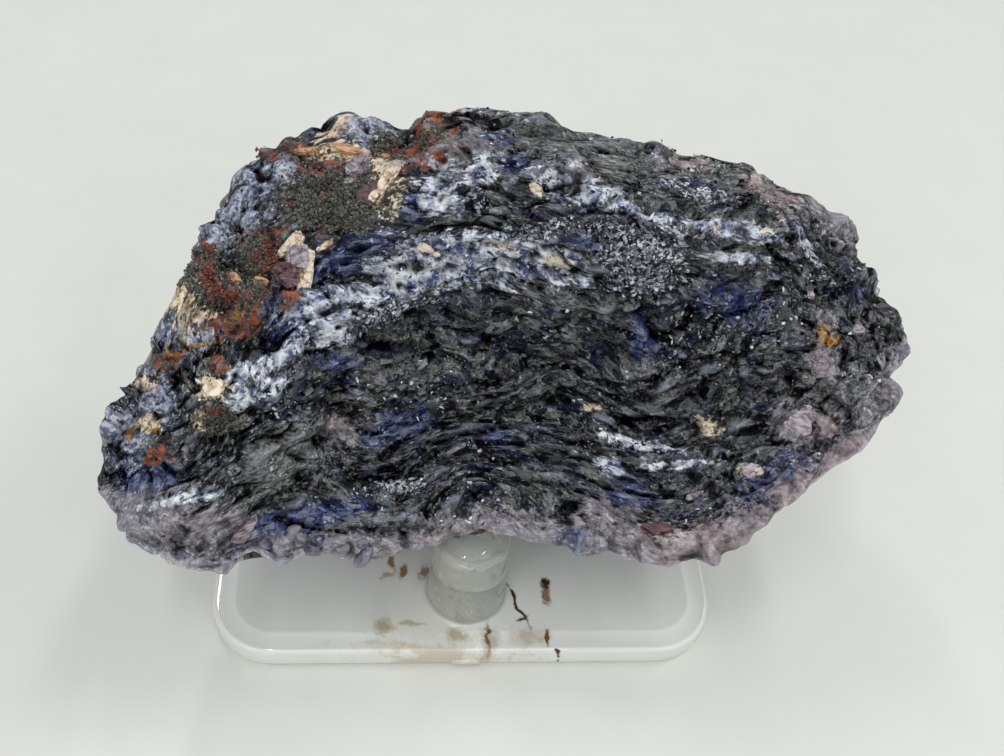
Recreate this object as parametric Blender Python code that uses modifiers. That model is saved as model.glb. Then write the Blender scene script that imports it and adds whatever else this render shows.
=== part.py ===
"""A rough violet-blue mineral specimen, resting on a clear moulded stand with three pegs.

Lengths are in millimetres until a mesh is made. The origin is the middle of the stand's underside. +X runs along
the plate, +Y goes to the back and +Z is up.

The stone is a loft between unlike sections. Thirteen named lines run from its left tip to its right tip, and each
section joins one point of every line, round the stone. The broken surface is then laid on that form by repeatable
noise: flat facets at random tilts, long ledges, and the round nodules of the weathered crust.
"""

import math

import bmesh
import bpy
import numpy as np

MM = 0.001
GAP = 0.3

PLATE_LENGTH = 80.0
PLATE_DEPTH = 60.0
PLATE_THICKNESS = 4.0
PLATE_CORNER = 10.0
PLATE_EDGE = 0.8

PEG_HEIGHT = 15.0
PEG_TOP_RADIUS = 5.9
PEG_FOOT_RADIUS = 6.2
PEG_RIM = 0.8
PEG_FILLET = 0.9
PEG_SIDES = 32
PEG_CENTRES = ((0.0, -19.0), (-21.0, 18.0), (21.0, 18.0))
PEG_TOP = PLATE_THICKNESS + PEG_HEIGHT

GATE_CENTRE_X = -0.2
GATE_WIDTH = 5.0
GATE_DEPTH = 0.5
GATE_HEIGHT = 1.2
GATE_BOTTOM = 0.3

LEFT_TIP = (-52.5, -22.0, 34.0)
RIGHT_TIP = (65.5, -2.5, 45.0)

# The lines of the stone, from the front lip over the top and back underneath, each left to right.
LIP = ((-45.0, -28.5, 29.5), (-38.5, -30.5, 27.5), (-25.5, -26.5, 25.5), (-7.0, -23.3, 23.5), (3.5, -20.2, 23.0),
       (18.0, -23.2, 24.0), (30.5, -27.0, 26.0), (42.0, -24.0, 31.0), (51.5, -18.7, 38.0), (58.0, -14.7, 42.0))
SHELF = ((-46.5, -26.0, 33.0), (-37.5, -25.0, 31.5), (-25.5, -15.5, 31.0), (-11.5, -6.5, 31.5), (8.5, -5.0, 31.0),
         (28.5, -8.0, 31.0), (43.0, -11.0, 34.0), (52.5, -11.0, 39.0), (57.5, -10.0, 43.0))
VALLEY = ((-47.0, -21.0, 35.5), (-37.5, -19.5, 37.0), (-26.0, -10.0, 38.5), (-14.5, -1.0, 40.0), (3.5, 1.5, 40.0),
          (25.0, -1.0, 39.5), (42.5, -3.5, 41.0), (52.0, -6.0, 43.5))
LEDGE = ((-49.0, -18.0, 38.0), (-39.0, -14.0, 41.0), (-28.5, -7.0, 45.0), (-17.5, 1.0, 48.0), (-5.0, 2.0, 50.5),
         (14.0, 1.0, 50.0), (32.5, 3.0, 49.0), (46.5, 3.0, 48.5), (55.5, -0.5, 47.0))
STEP = ((-50.0, -17.5, 39.5), (-43.0, -9.5, 45.0), (-34.5, 1.5, 50.0), (-23.5, 9.0, 54.0), (-12.0, 8.5, 57.0),
        (-2.5, 6.0, 59.5), (10.0, 3.0, 59.0), (22.0, 4.5, 58.0), (34.5, 5.5, 56.0), (46.0, 6.5, 53.5),
        (55.5, 3.0, 50.0))
CREST = ((-50.5, -17.0, 41.0), (-44.5, -7.5, 48.0), (-36.0, 7.5, 54.0), (-25.0, 16.5, 58.0), (-12.5, 16.5, 61.5),
         (-4.5, 18.5, 65.0), (1.5, 13.5, 65.5), (10.0, 8.0, 65.0), (18.5, 6.5, 63.5), (30.5, 6.0, 61.0),
         (42.5, 10.0, 58.5), (49.5, 8.5, 56.0), (56.0, 4.0, 52.0))
BROW = ((-50.5, -17.0, 41.0), (-46.8, -10.5, 46.0), (-42.3, -1.0, 51.0), (-38.5, 12.0, 56.0), (-32.5, 22.0, 59.0),
        (-20.5, 28.0, 61.0), (-12.5, 25.5, 62.0), (-4.0, 23.0, 68.0), (11.0, 20.0, 67.0), (23.0, 19.5, 65.0),
        (36.0, 19.5, 61.7), (48.0, 19.5, 58.0), (57.5, 15.0, 53.5), (62.5, 4.5, 49.0))
SHOULDER = ((-50.0, -15.0, 38.0), (-45.0, -2.0, 44.0), (-39.0, 15.0, 50.0), (-30.5, 25.5, 53.0), (-18.0, 31.0, 54.0),
            (-4.0, 28.5, 59.0), (14.0, 26.0, 59.0), (28.0, 25.5, 56.0), (42.0, 25.0, 53.0), (54.0, 20.0, 49.0),
            (62.0, 8.0, 46.0))
BELLY = ((-49.0, -14.0, 34.0), (-42.0, 4.0, 36.0), (-36.0, 20.0, 38.0), (-24.0, 29.0, 38.0), (-4.0, 30.0, 40.0),
         (16.0, 29.0, 40.0), (33.0, 28.0, 38.0), (48.0, 23.0, 38.0), (59.0, 11.0, 40.0))
HEEL = ((-47.0, -12.0, 31.0), (-38.0, 8.0, 28.0), (-27.0, 21.0, 24.0), (-8.0, 25.0, 22.0), (12.0, 25.5, 21.5),
        (28.0, 24.0, 22.5), (44.0, 17.0, 28.0), (56.0, 7.0, 35.0))
SOLE_BACK = ((-46.0, -15.0, 29.0), (-36.0, -2.0, 24.5), (-22.0, 10.0, 20.5), (0.0, 14.0, 20.0), (22.0, 14.0, 20.0),
             (40.0, 10.0, 25.0), (54.0, 3.0, 34.0))
SOLE_FRONT = ((-45.0, -22.0, 28.0), (-36.0, -20.0, 24.5), (-20.0, -14.0, 21.0), (0.0, -13.0, 19.6),
              (20.0, -14.0, 21.0), (36.0, -16.0, 24.0), (52.0, -9.0, 34.0))
UNDER_LIP = ((-44.5, -26.5, 28.0), (-37.5, -27.5, 26.0), (-24.0, -23.5, 22.5), (-6.5, -20.5, 20.4),
             (3.0, -18.5, 20.2), (17.0, -20.0, 21.5), (30.0, -24.0, 23.5), (42.0, -21.0, 28.5), (51.5, -16.5, 35.5),
             (58.0, -12.5, 40.0))
LINES = (LIP, SHELF, VALLEY, LEDGE, STEP, CREST, BROW, SHOULDER, BELLY, HEEL, SOLE_BACK, SOLE_FRONT, UNDER_LIP)

CURVE_SHARE = 0.6
STONE_LENGTH = 150.0
CHIP_SIZE = 7.0
CHIP_HEIGHT = 2.0
CHIP_CRISPNESS = 14.0
SPLINTER_SIZE = 3.4
SPLINTER_HEIGHT = 0.7
LEDGE_SIZE = 2.6
LEDGE_STRETCH = 5.0
LEDGE_HEIGHT = 0.5
LEDGE_FADE = 0.12
RING_RADIUS = 24.0
SWELL_SIZE = 14.0
SWELL_HEIGHT = 0.8
RELIEF_BASE = -0.35
TIP_CALM = 0.07
NODULE_SIZE = 4.2
NODULE_HEIGHT = 1.8
SEAT_RADIUS = 4.0
SEAT_REACH = 2.6

# Where the weathered crust of round nodules lies: centre and half-widths of each patch.
CRUST_PATCHES = (((-34.0, 12.0, 56.0), (9.0, 12.0, 9.0)),
                 ((-41.0, -3.0, 48.0), (5.0, 6.0, 6.0)),
                 ((-18.0, 27.0, 62.0), (6.0, 5.0, 5.0)))

# Single lumps (positive) and hollows (negative): centre, radius and height.
LUMPS_AND_HOLLOWS = (((-19.0, 27.0, 62.0), 5.0, 1.4),
                     ((-13.0, 24.0, 62.0), 3.0, -2.4),
                     ((-5.5, 22.0, 66.5), 1.8, -1.4),
                     ((-13.0, 15.0, 60.5), 4.0, 1.4),
                     ((-26.5, 5.0, 51.5), 3.5, 1.2),
                     ((5.0, 6.0, 61.0), 5.0, -2.6),
                     ((-31.0, -27.5, 27.0), 2.4, -2.6),
                     ((-24.0, -26.5, 25.5), 2.0, -2.2),
                     ((-16.0, -25.5, 24.0), 6.0, 1.4),
                     ((-50.5, -25.5, 33.0), 4.5, 2.0),
                     ((54.0, 5.0, 52.0), 4.0, -1.6),
                     ((57.0, 1.0, 48.0), 3.0, -1.2),
                     ((60.5, 4.0, 50.0), 2.4, -2.2),
                     ((63.5, 1.0, 47.0), 4.0, 1.8))

ROWS = 150
COLUMNS = 170
STONE_TRIANGLES = 7600


def lattice_value(x, y, z, seed):
    """A repeatable number from 0 to 1 for each point of a whole-number lattice."""
    mixed = (x.astype(np.int64) * 374761393 + y.astype(np.int64) * 668265263 + z.astype(np.int64) * 2246822519
             + seed * 3266489917) & 0xFFFFFFFF
    mixed = ((mixed ^ (mixed >> 15)) * 2246822519) & 0xFFFFFFFF
    mixed = ((mixed ^ (mixed >> 13)) * 3266489917) & 0xFFFFFFFF
    return (mixed ^ (mixed >> 16)) / 4294967295.0


def smooth_noise(points, size, seed):
    """Value noise from -1 to 1, with blobs about as wide as size."""
    scaled = points / size
    base = np.floor(scaled)
    part = scaled - base
    ease = part * part * (3.0 - 2.0 * part)
    total = np.zeros(points.shape[:-1])
    for corner in range(8):
        step = np.array((corner & 1, (corner >> 1) & 1, (corner >> 2) & 1))
        weight = np.prod(np.where(step, ease, 1.0 - ease), axis=-1)
        place = base + step
        total += weight * lattice_value(place[..., 0], place[..., 1], place[..., 2], seed)
    return 2.0 * total - 1.0


def cell_neighbours(points, size, seed):
    """For each of the 27 lattice cells round a point: the offset from its jittered centre, and its place."""
    scaled = points / size
    base = np.floor(scaled)
    for index in range(27):
        place = base + np.array((index % 3 - 1, index // 3 % 3 - 1, index // 9 - 1))
        jitter = np.stack([lattice_value(place[..., 0], place[..., 1], place[..., 2], seed + k) for k in range(3)], -1)
        yield scaled - place - jitter, place


def facets(points, size, seed):
    """Height in cell sizes of flat chips: each cell is a plane with its own level and tilt, eased at its edges."""
    weight_sum = np.zeros(points.shape[:-1])
    height_sum = np.zeros(points.shape[:-1])
    for away, place in cell_neighbours(points, size, seed):
        tilt = [2.0 * lattice_value(place[..., 0], place[..., 1], place[..., 2], seed + 5 + k) - 1.0 for k in range(4)]
        level = away[..., 0] * tilt[0] + away[..., 1] * tilt[1] + away[..., 2] * tilt[2] + 0.35 * tilt[3]
        weight = np.exp(-CHIP_CRISPNESS * np.sum(away * away, axis=-1))
        weight_sum += weight
        height_sum += weight * level
    return height_sum / np.maximum(weight_sum, 1e-12)


def nodules(points, size, seed):
    """Height from 0 to 1 of round lumps packed side by side."""
    nearest = np.full(points.shape[:-1], np.inf)
    for away, _ in cell_neighbours(points, size, seed):
        nearest = np.minimum(nearest, np.sum(away * away, axis=-1))
    return np.sqrt(np.clip(1.0 - nearest / 0.6, 0.0, 1.0))


def patch(points, centre, radii, seed):
    """1 inside a ragged ellipsoid and 0 outside it, with a short fade between."""
    reach = np.sqrt(np.sum(((points - np.array(centre)) / np.array(radii)) ** 2, axis=-1))
    ragged = reach + 0.18 * smooth_noise(points, 0.45 * min(radii), seed)
    return np.clip((1.1 - ragged) / 0.2, 0.0, 1.0)


def spline(knots, samples):
    """Catmull-Rom curve through the knots, resampled to equal steps of length."""
    knots = np.array(knots)
    ends = np.vstack([2.0 * knots[0] - knots[1], knots, 2.0 * knots[-1] - knots[-2]])
    t = np.linspace(0.0, 1.0, 24, endpoint=False)[:, None]
    pieces = []
    for before, start, end, after in zip(ends[:-3], ends[1:-2], ends[2:-1], ends[3:]):
        pieces.append(0.5 * (2.0 * start + (end - before) * t + (2.0 * before - 5.0 * start + 4.0 * end - after) * t ** 2
                             + (3.0 * start - before - 3.0 * end + after) * t ** 3))
    dense = np.vstack(pieces + [knots[-1:]])
    length = np.concatenate([[0.0], np.cumsum(np.linalg.norm(np.diff(dense, axis=0), axis=1))])
    places = samples * length[-1]
    return np.stack([np.interp(places, length, dense[:, k]) for k in range(3)], -1)


def round_section(corners, columns):
    """A closed outline through the section's corners, part straight and part curved, in equal steps of length."""
    count = len(corners)
    t = np.linspace(0.0, 1.0, 16, endpoint=False)[:, None]
    pieces = []
    for k in range(count):
        before, start, end, after = (corners[(k + j) % count] for j in (-1, 0, 1, 2))
        curved = 0.5 * (2.0 * start + (end - before) * t + (2.0 * before - 5.0 * start + 4.0 * end - after) * t ** 2
                        + (3.0 * start - before - 3.0 * end + after) * t ** 3)
        straight = start + (end - start) * t
        pieces.append(CURVE_SHARE * curved + (1.0 - CURVE_SHARE) * straight)
    dense = np.vstack(pieces + [corners[:1]])
    length = np.concatenate([[0.0], np.cumsum(np.linalg.norm(np.diff(dense, axis=0), axis=1))])
    places = np.linspace(0.0, length[-1], columns, endpoint=False)
    return np.stack([np.interp(places, length, dense[:, k]) for k in range(3)], -1)


def stone_form(rows, columns):
    """The stone's smooth form as a grid of points: rows run left to right, columns run round each section.

    Towards each tip a section's corners melt into a plain oval, so that the lines don't meet in a fan of creases.
    """
    even = np.linspace(0.0, 1.0, rows + 2)[1:-1]
    samples = 0.75 * even + 0.25 * (0.5 - 0.5 * np.cos(math.pi * even))
    lines = np.stack([spline((LEFT_TIP,) + line + (RIGHT_TIP,), samples) for line in LINES], 1)
    grid = np.stack([round_section(corners, columns) for corners in lines])
    waves = np.fft.rfft(grid, axis=1)
    waves[:, 3:] = 0.0
    soft = np.fft.irfft(waves, n=columns, axis=1)
    from_tip = np.clip(np.minimum(samples, 1.0 - samples) / TIP_CALM, 0.0, 1.0)[:, None, None]
    return soft + from_tip * (grid - soft)


def outward(grid):
    """Unit normals of a grid of points, pointing out of the stone."""
    along = np.gradient(grid, axis=0)
    around = np.roll(grid, -1, axis=1) - np.roll(grid, 1, axis=1)
    normal = np.cross(along, around)
    normal /= np.maximum(np.linalg.norm(normal, axis=-1, keepdims=True), 1e-9)
    middle = grid.mean(axis=(0, 1))
    sign = np.sign(np.sum(normal * (grid - middle)))
    return sign * normal


def surface_relief(grid):
    """How far each point of the smooth form is pushed out, in millimetres."""
    rows, columns = grid.shape[:2]
    stretched = grid * np.array((0.55, 1.0, 1.0))
    chips = CHIP_HEIGHT * facets(stretched, CHIP_SIZE, 11) + SPLINTER_HEIGHT * facets(stretched, SPLINTER_SIZE, 23)
    turn = 2.0 * math.pi * np.arange(columns) / columns
    along = np.linspace(0.0, STONE_LENGTH / LEDGE_STRETCH, rows)
    ring = np.stack([np.broadcast_to(along[:, None], (rows, columns)),
                     np.broadcast_to(RING_RADIUS * np.cos(turn), (rows, columns)),
                     np.broadcast_to(RING_RADIUS * np.sin(turn), (rows, columns))], -1)
    from_tip = np.minimum(np.linspace(0.0, 1.0, rows), np.linspace(1.0, 0.0, rows))[:, None]
    ledges = LEDGE_HEIGHT * (1.0 - 2.0 * np.abs(smooth_noise(ring, LEDGE_SIZE, 31)))
    ledges *= np.clip((from_tip - TIP_CALM) / LEDGE_FADE, 0.0, 1.0)
    relief = RELIEF_BASE + chips + ledges + SWELL_HEIGHT * smooth_noise(grid, SWELL_SIZE, 41)
    crusted = np.zeros(grid.shape[:2])
    for centre, radii in CRUST_PATCHES:
        crusted = np.maximum(crusted, patch(grid, centre, radii, 51))
    relief = relief * (1.0 - 0.6 * crusted) + crusted * NODULE_HEIGHT * (nodules(grid, NODULE_SIZE, 61) - 0.6)
    for centre, radius, height in LUMPS_AND_HOLLOWS:
        distance = np.linalg.norm(grid - np.array(centre), axis=-1)
        relief += height * np.exp(-(distance / radius) ** 2)
    return relief * np.clip(from_tip / TIP_CALM, 0.15, 1.0)


def stone_points(rows, columns):
    """The finished surface as a grid of points, seated on the pegs."""
    form = stone_form(rows, columns)
    grid = form + surface_relief(form)[..., None] * outward(form)
    grid[..., 2] = np.maximum(grid[..., 2], PEG_TOP + GAP)
    for x, y in PEG_CENTRES:
        off_axis = np.hypot(grid[..., 0] - x, grid[..., 1] - y)
        beneath = (grid[..., 2] < PEG_TOP + SEAT_REACH) & (off_axis < SEAT_RADIUS)
        press = np.where(beneath, np.clip(1.4 - off_axis / SEAT_RADIUS, 0.0, 1.0), 0.0)
        grid[..., 2] += press * (PEG_TOP + GAP - grid[..., 2])
    return grid


def new_material(name, hex_colour, roughness, transmission=0.0):
    """A Principled material from an sRGB hex colour."""
    material = bpy.data.materials.new(name)
    material.use_nodes = True
    shader = material.node_tree.nodes["Principled BSDF"]
    srgb = [int(hex_colour[k:k + 2], 16) / 255.0 for k in (1, 3, 5)]
    linear = [((c + 0.055) / 1.055) ** 2.4 if c > 0.04045 else c / 12.92 for c in srgb]
    shader.inputs["Base Color"].default_value = (*linear, 1.0)
    shader.inputs["Roughness"].default_value = roughness
    shader.inputs["Transmission Weight"].default_value = transmission
    material.diffuse_color = (*linear, 1.0)
    return material


def new_object(name, mesh, collection, material=None):
    thing = bpy.data.objects.new(name, mesh)
    collection.objects.link(thing)
    if material:
        mesh.materials.append(material)
    return thing


def build_specimen(collection):
    """The stone: the grid of points closed at both tips, then thinned where it is nearly flat."""
    grid = stone_points(ROWS, COLUMNS)
    points = np.vstack([grid.reshape(-1, 3), grid[0].mean(axis=0), grid[-1].mean(axis=0)]) * MM
    left, right = ROWS * COLUMNS, ROWS * COLUMNS + 1
    faces = []
    for j in range(COLUMNS):
        k = (j + 1) % COLUMNS
        faces.append((left, k, j))
        faces.append((right, (ROWS - 1) * COLUMNS + j, (ROWS - 1) * COLUMNS + k))
        faces += [(i * COLUMNS + j, i * COLUMNS + k, (i + 1) * COLUMNS + k, (i + 1) * COLUMNS + j)
                  for i in range(ROWS - 1)]
    mesh = bpy.data.meshes.new("specimen")
    mesh.from_pydata(points.tolist(), [], faces)
    shell = bmesh.new()
    shell.from_mesh(mesh)
    bmesh.ops.recalc_face_normals(shell, faces=shell.faces)
    shell.to_mesh(mesh)
    shell.free()
    stone = new_object("specimen", mesh, collection, new_material("glassy violet-blue stone", "#2a2f4a", 0.35))
    thin = stone.modifiers.new("thin", "DECIMATE")
    thin.ratio = STONE_TRIANGLES / (2.0 * ROWS * COLUMNS)
    return stone


def build_plate(collection, material):
    """The stand's plate: a block with round upright corners and eased top edges."""
    mesh = bpy.data.meshes.new("stand")
    shell = bmesh.new()
    bmesh.ops.create_cube(shell, size=1.0)
    bmesh.ops.scale(shell, vec=(PLATE_LENGTH * MM, PLATE_DEPTH * MM, PLATE_THICKNESS * MM), verts=shell.verts)
    bmesh.ops.translate(shell, vec=(0.0, 0.0, PLATE_THICKNESS * MM / 2.0), verts=shell.verts)
    upright = [e for e in shell.edges if abs(e.verts[0].co.z - e.verts[1].co.z) > 0.5 * PLATE_THICKNESS * MM]
    bmesh.ops.bevel(shell, geom=upright, offset=PLATE_CORNER * MM, segments=10, profile=0.5, affect="EDGES")
    top = [e for e in shell.edges if min(v.co.z for v in e.verts) > 0.9 * PLATE_THICKNESS * MM]
    bmesh.ops.bevel(shell, geom=top, offset=PLATE_EDGE * MM, segments=3, profile=0.5, affect="EDGES")
    shell.to_mesh(mesh)
    shell.free()
    return new_object("stand", mesh, collection, material)


def arc(centre, radius, start, end, steps):
    """Points on an arc in the profile's plane, from one angle in degrees to another."""
    angles = [math.radians(start + (end - start) * k / steps) for k in range(steps + 1)]
    return [(centre[0] + radius * math.cos(a), centre[1] + radius * math.sin(a)) for a in angles]


def build_peg(name, centre, collection):
    """A turned peg with a round rim, a slight taper and a small fillet at its foot, sunk into the plate."""
    profile = [(0.0, PEG_TOP)]
    profile += arc((PEG_TOP_RADIUS - PEG_RIM, PEG_TOP - PEG_RIM), PEG_RIM, 90.0, 0.0, 3)
    profile += arc((PEG_FOOT_RADIUS + PEG_FILLET, PLATE_THICKNESS + PEG_FILLET), PEG_FILLET, 180.0, 265.0, 3)
    profile += [(PEG_FOOT_RADIUS + PEG_FILLET, PLATE_THICKNESS - 1.0), (0.0, PLATE_THICKNESS - 1.0)]
    mesh = bpy.data.meshes.new(name)
    edges = [(k, k + 1) for k in range(len(profile) - 1)]
    mesh.from_pydata([(r * MM, 0.0, z * MM) for r, z in profile], edges, [])
    peg = new_object(name, mesh, collection)
    peg.location = (centre[0] * MM, centre[1] * MM, 0.0)
    turn = peg.modifiers.new("turn", "SCREW")
    turn.steps = turn.render_steps = PEG_SIDES
    turn.use_merge_vertices = True
    turn.merge_threshold = 0.00001
    return peg


def build_gate(collection):
    """The small nub left on the plate's front edge where the clear plastic was let into the mould."""
    mesh = bpy.data.meshes.new("gate")
    shell = bmesh.new()
    bmesh.ops.create_cube(shell, size=1.0)
    bmesh.ops.scale(shell, vec=(GATE_WIDTH * MM, 2.0 * GATE_DEPTH * MM, GATE_HEIGHT * MM), verts=shell.verts)
    shell.to_mesh(mesh)
    shell.free()
    gate = new_object("gate", mesh, collection)
    gate.location = (GATE_CENTRE_X * MM, -PLATE_DEPTH / 2.0 * MM, (GATE_BOTTOM + GATE_HEIGHT / 2.0) * MM)
    return gate


def build_stand(collection, tools):
    """One clear moulding: the plate with three pegs and the gate's nub joined to it."""
    clear = new_material("clear moulded plastic", "#dfe6e0", 0.08, transmission=0.9)
    stand = build_plate(collection, clear)
    added = [build_peg(f"peg_{k}", centre, tools) for k, centre in enumerate(PEG_CENTRES)] + [build_gate(tools)]
    for thing in added:
        thing.hide_render = True
        thing.display_type = "WIRE"
        join = stand.modifiers.new(f"join {thing.name}", "BOOLEAN")
        join.operation = "UNION"
        join.object = thing
    return stand


def main():
    for thing in list(bpy.data.objects):
        bpy.data.objects.remove(thing)
    parts = bpy.data.collections.new("mineral specimen on stand")
    tools = bpy.data.collections.new("shapes joined to the stand")
    for collection in (parts, tools):
        bpy.context.scene.collection.children.link(collection)
    build_specimen(parts)
    build_stand(parts, tools)


main()
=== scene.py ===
# %% [markdown]
# # A rough violet-blue mineral specimen on a clear plastic stand
#
# The stone is a wedge of glassy, nearly black violet-blue mineral. A weathered crust of nodules, mica and
# feldspar grows on its upper left, and its lower edge thins to a lavender lip that lets light through. It
# rests on three pegs of a clear moulded stand. The frame that is loaded here holds both solids at their
# real size; this lesson lays the fine surface over them.

# %% Load the frame
import math

import bpy
import numpy as np
from mathutils import Matrix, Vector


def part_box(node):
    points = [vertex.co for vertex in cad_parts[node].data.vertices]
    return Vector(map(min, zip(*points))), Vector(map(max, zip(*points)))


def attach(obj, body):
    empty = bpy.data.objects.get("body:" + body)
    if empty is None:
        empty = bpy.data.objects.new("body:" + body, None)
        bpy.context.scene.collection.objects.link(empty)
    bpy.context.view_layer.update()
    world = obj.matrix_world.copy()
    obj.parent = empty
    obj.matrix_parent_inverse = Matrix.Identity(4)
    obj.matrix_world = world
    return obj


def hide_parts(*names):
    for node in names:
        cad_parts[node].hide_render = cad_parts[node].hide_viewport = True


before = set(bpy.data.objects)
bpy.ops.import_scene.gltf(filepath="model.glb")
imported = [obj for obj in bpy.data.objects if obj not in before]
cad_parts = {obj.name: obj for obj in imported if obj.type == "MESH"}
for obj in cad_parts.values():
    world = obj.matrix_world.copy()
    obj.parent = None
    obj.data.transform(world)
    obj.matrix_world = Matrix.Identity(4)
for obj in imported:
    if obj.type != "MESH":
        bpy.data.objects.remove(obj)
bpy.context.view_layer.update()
MM = 0.001
stone_low, stone_high = (np.array(corner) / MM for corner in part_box("specimen"))
_, stand_high = (np.array(corner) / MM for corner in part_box("stand"))
print("stone box in mm", stone_low.round(1), stone_high.round(1), "stand top", round(stand_high[2], 1))

# %% [markdown]
# ## The view
#
# A stand's plate is a rectangle with round corners, so its outline in a photograph gives the camera: how
# far it looks down, how it is turned and rolled, and how far away it is. A matrix built from the camera's
# own right, up and back directions is the plainest way to set all three angles at once. Lamps are placed in
# the same way.

# %% Camera
EYE_IN_MM = (-15.3, -118.7, 164.3)
PITCH, ROLL, YAW = (math.radians(degrees) for degrees in (47.21, -7.98, 9.32))
FOCAL_PIXELS, IMAGE_WIDTH, IMAGE_HEIGHT = 1150.0, 1004.0, 756.0
SENSOR_IN_MM, CLIP_START = 36.0, 0.01


def turned(x, y, z):
    """A direction turned about +Z by the camera's yaw."""
    return np.array((x * math.cos(YAW) + y * math.sin(YAW), y * math.cos(YAW) - x * math.sin(YAW), z))


def set_in_place(thing, right, up, back, place):
    """Link a camera or a lamp and set it at a place in metres, with its own right, up and back directions."""
    basis = np.eye(4)
    basis[:3] = np.stack([right, up, back, place], axis=-1)
    thing.matrix_world = Matrix(basis.tolist())
    bpy.context.scene.collection.objects.link(thing)


level_right, level_up = turned(1.0, 0.0, 0.0), turned(0.0, math.sin(PITCH), math.cos(PITCH))
ahead = turned(0.0, math.cos(PITCH), -math.sin(PITCH))
view_right = level_right * math.cos(ROLL) - level_up * math.sin(ROLL)
view_up = level_right * math.sin(ROLL) + level_up * math.cos(ROLL)
camera_data = bpy.data.cameras.new("camera")
camera_data.sensor_width = SENSOR_IN_MM
camera_data.lens = FOCAL_PIXELS / IMAGE_WIDTH * SENSOR_IN_MM
camera_data.clip_start = CLIP_START
camera = bpy.data.objects.new("camera", camera_data)
set_in_place(camera, view_right, view_up, -ahead, np.array(EYE_IN_MM) * MM)
bpy.context.scene.camera = camera
print("lens", round(camera_data.lens, 2), "mm")

# %% [markdown]
# ## Colours and nodes
#
# Colours are written as the sRGB hex values that an eye or a paint program reads, and one function turns
# them into the linear values that the renderer needs. Every material is a small network of nodes, so one
# function adds a node, its settings and its links in a single call.

# %% Helpers for colours, nodes and meshes
def linear(hex_colour):
    """An sRGB hex colour as linear red, green, blue and an alpha of 1."""
    srgb = np.array([int(hex_colour[k:k + 2], 16) / 255.0 for k in (1, 3, 5)])
    value = np.where(srgb > 0.04045, ((srgb + 0.055) / 1.055) ** 2.4, srgb / 12.92)
    return (*value.tolist(), 1.0)


def unit(vectors):
    """Vectors with a length of 1."""
    return vectors / np.maximum(np.linalg.norm(vectors, axis=-1, keepdims=True), 1e-9)


def add(tree, kind, inputs=None, output=None, **settings):
    """Add a node with its settings, fill or link its inputs by name or number, and return one output."""
    node = tree.nodes.new("ShaderNode" + kind)
    for name, value in settings.items():
        setattr(node, name, value)
    for key, value in (inputs or {}).items():
        socket = next(s for k, s in enumerate(node.inputs) if s.enabled and key in (k, s.name))
        if isinstance(value, bpy.types.NodeSocket):
            tree.links.new(value, socket)
        else:
            socket.default_value = value
    return next(s for s in node.outputs if s.enabled and output in (None, s.name))


def fresh_material(name, **values):
    """A new material, its node tree and its shader. Values are constant sockets, as Roughness=0.3."""
    material = bpy.data.materials.new(name)
    material.use_nodes = True
    shader = material.node_tree.nodes["Principled BSDF"]
    for socket, value in values.items():
        shader.inputs[socket.replace("_", " ")].default_value = value
    return material, material.node_tree, shader


def mesh_piece(name, points, faces, material, sharp_degrees=None, slot="stone", **attributes):
    """A piece from arrays: points in mm, faces as arrays of 3 or 4 corners, and colours by point. With no
    angle for sharp edges, every face is flat."""
    corners = np.concatenate([np.asarray(group).ravel() for group in faces])
    sizes = np.concatenate([np.full(len(group), np.shape(group)[1]) for group in faces])
    mesh = bpy.data.meshes.new(name)
    mesh.vertices.add(len(points))
    mesh.vertices.foreach_set("co", (np.asarray(points) * MM).ravel())
    mesh.loops.add(len(corners))
    mesh.loops.foreach_set("vertex_index", corners.astype(np.int32))
    mesh.polygons.add(len(sizes))
    mesh.polygons.foreach_set("loop_start", np.concatenate([[0], np.cumsum(sizes)[:-1]]).astype(np.int32))
    mesh.update(calc_edges=True)
    mesh.validate()
    if sharp_degrees is None:
        mesh.shade_flat()
    else:
        mesh.shade_smooth()
        mesh.set_sharp_from_angle(angle=math.radians(sharp_degrees))
    for label, values in attributes.items():
        layer = mesh.attributes.new(label, "FLOAT_COLOR", "POINT")
        filled = np.ones((len(points), 4))
        filled[:, :3] = values
        layer.data.foreach_set("color", filled.ravel())
    mesh.materials.append(material)
    piece = bpy.data.objects.new(name, mesh)
    bpy.context.scene.collection.objects.link(piece)
    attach(piece, "root")
    print(name, len(points), "points", int((sizes - 2).sum()), "triangles")
    return piece


# %% [markdown]
# ## Floor and light
#
# The specimen stands on a plain pale surface in soft daylight. Ten square softboxes stand round it, the
# brightest in front, and four narrow tubes above make the broken faces glint. An even pale room fills the
# shadows, as white walls do.

# %% Floor
FLOOR_SIZE, FLOOR_Z, FLOOR_CLOUDS = 3.0, -0.00005, 60.0
floor_material, tree, shader = fresh_material("matt pale board", Roughness=0.6)
where = add(tree, "TexCoord", output="Object")
cloud = add(tree, "TexNoise", {"Vector": where, "Scale": FLOOR_CLOUDS})
tone = add(tree, "Mix", {"Factor": cloud, "A": linear("#e0e3dc"), "B": linear("#dadcd5")}, data_type="RGBA")
tree.links.new(tone, shader.inputs["Base Color"])
half = FLOOR_SIZE / 2.0
corners = [(x, y, FLOOR_Z) for x, y in ((-half, -half), (half, -half), (half, half), (-half, half))]
floor_mesh = bpy.data.meshes.new("floor")
floor_mesh.from_pydata(corners, [], [(0, 1, 2, 3)])
floor_mesh.materials.append(floor_material)
floor = bpy.data.objects.new("floor", floor_mesh)
bpy.context.scene.collection.objects.link(floor)
print("floor", FLOOR_SIZE, "m wide")

# %% Softboxes and surroundings
LAMPS_AIM = (0.0, 0.0, 0.045)
PANEL_DISTANCE, PANEL_SIDE = 1.1, 0.48
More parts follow.
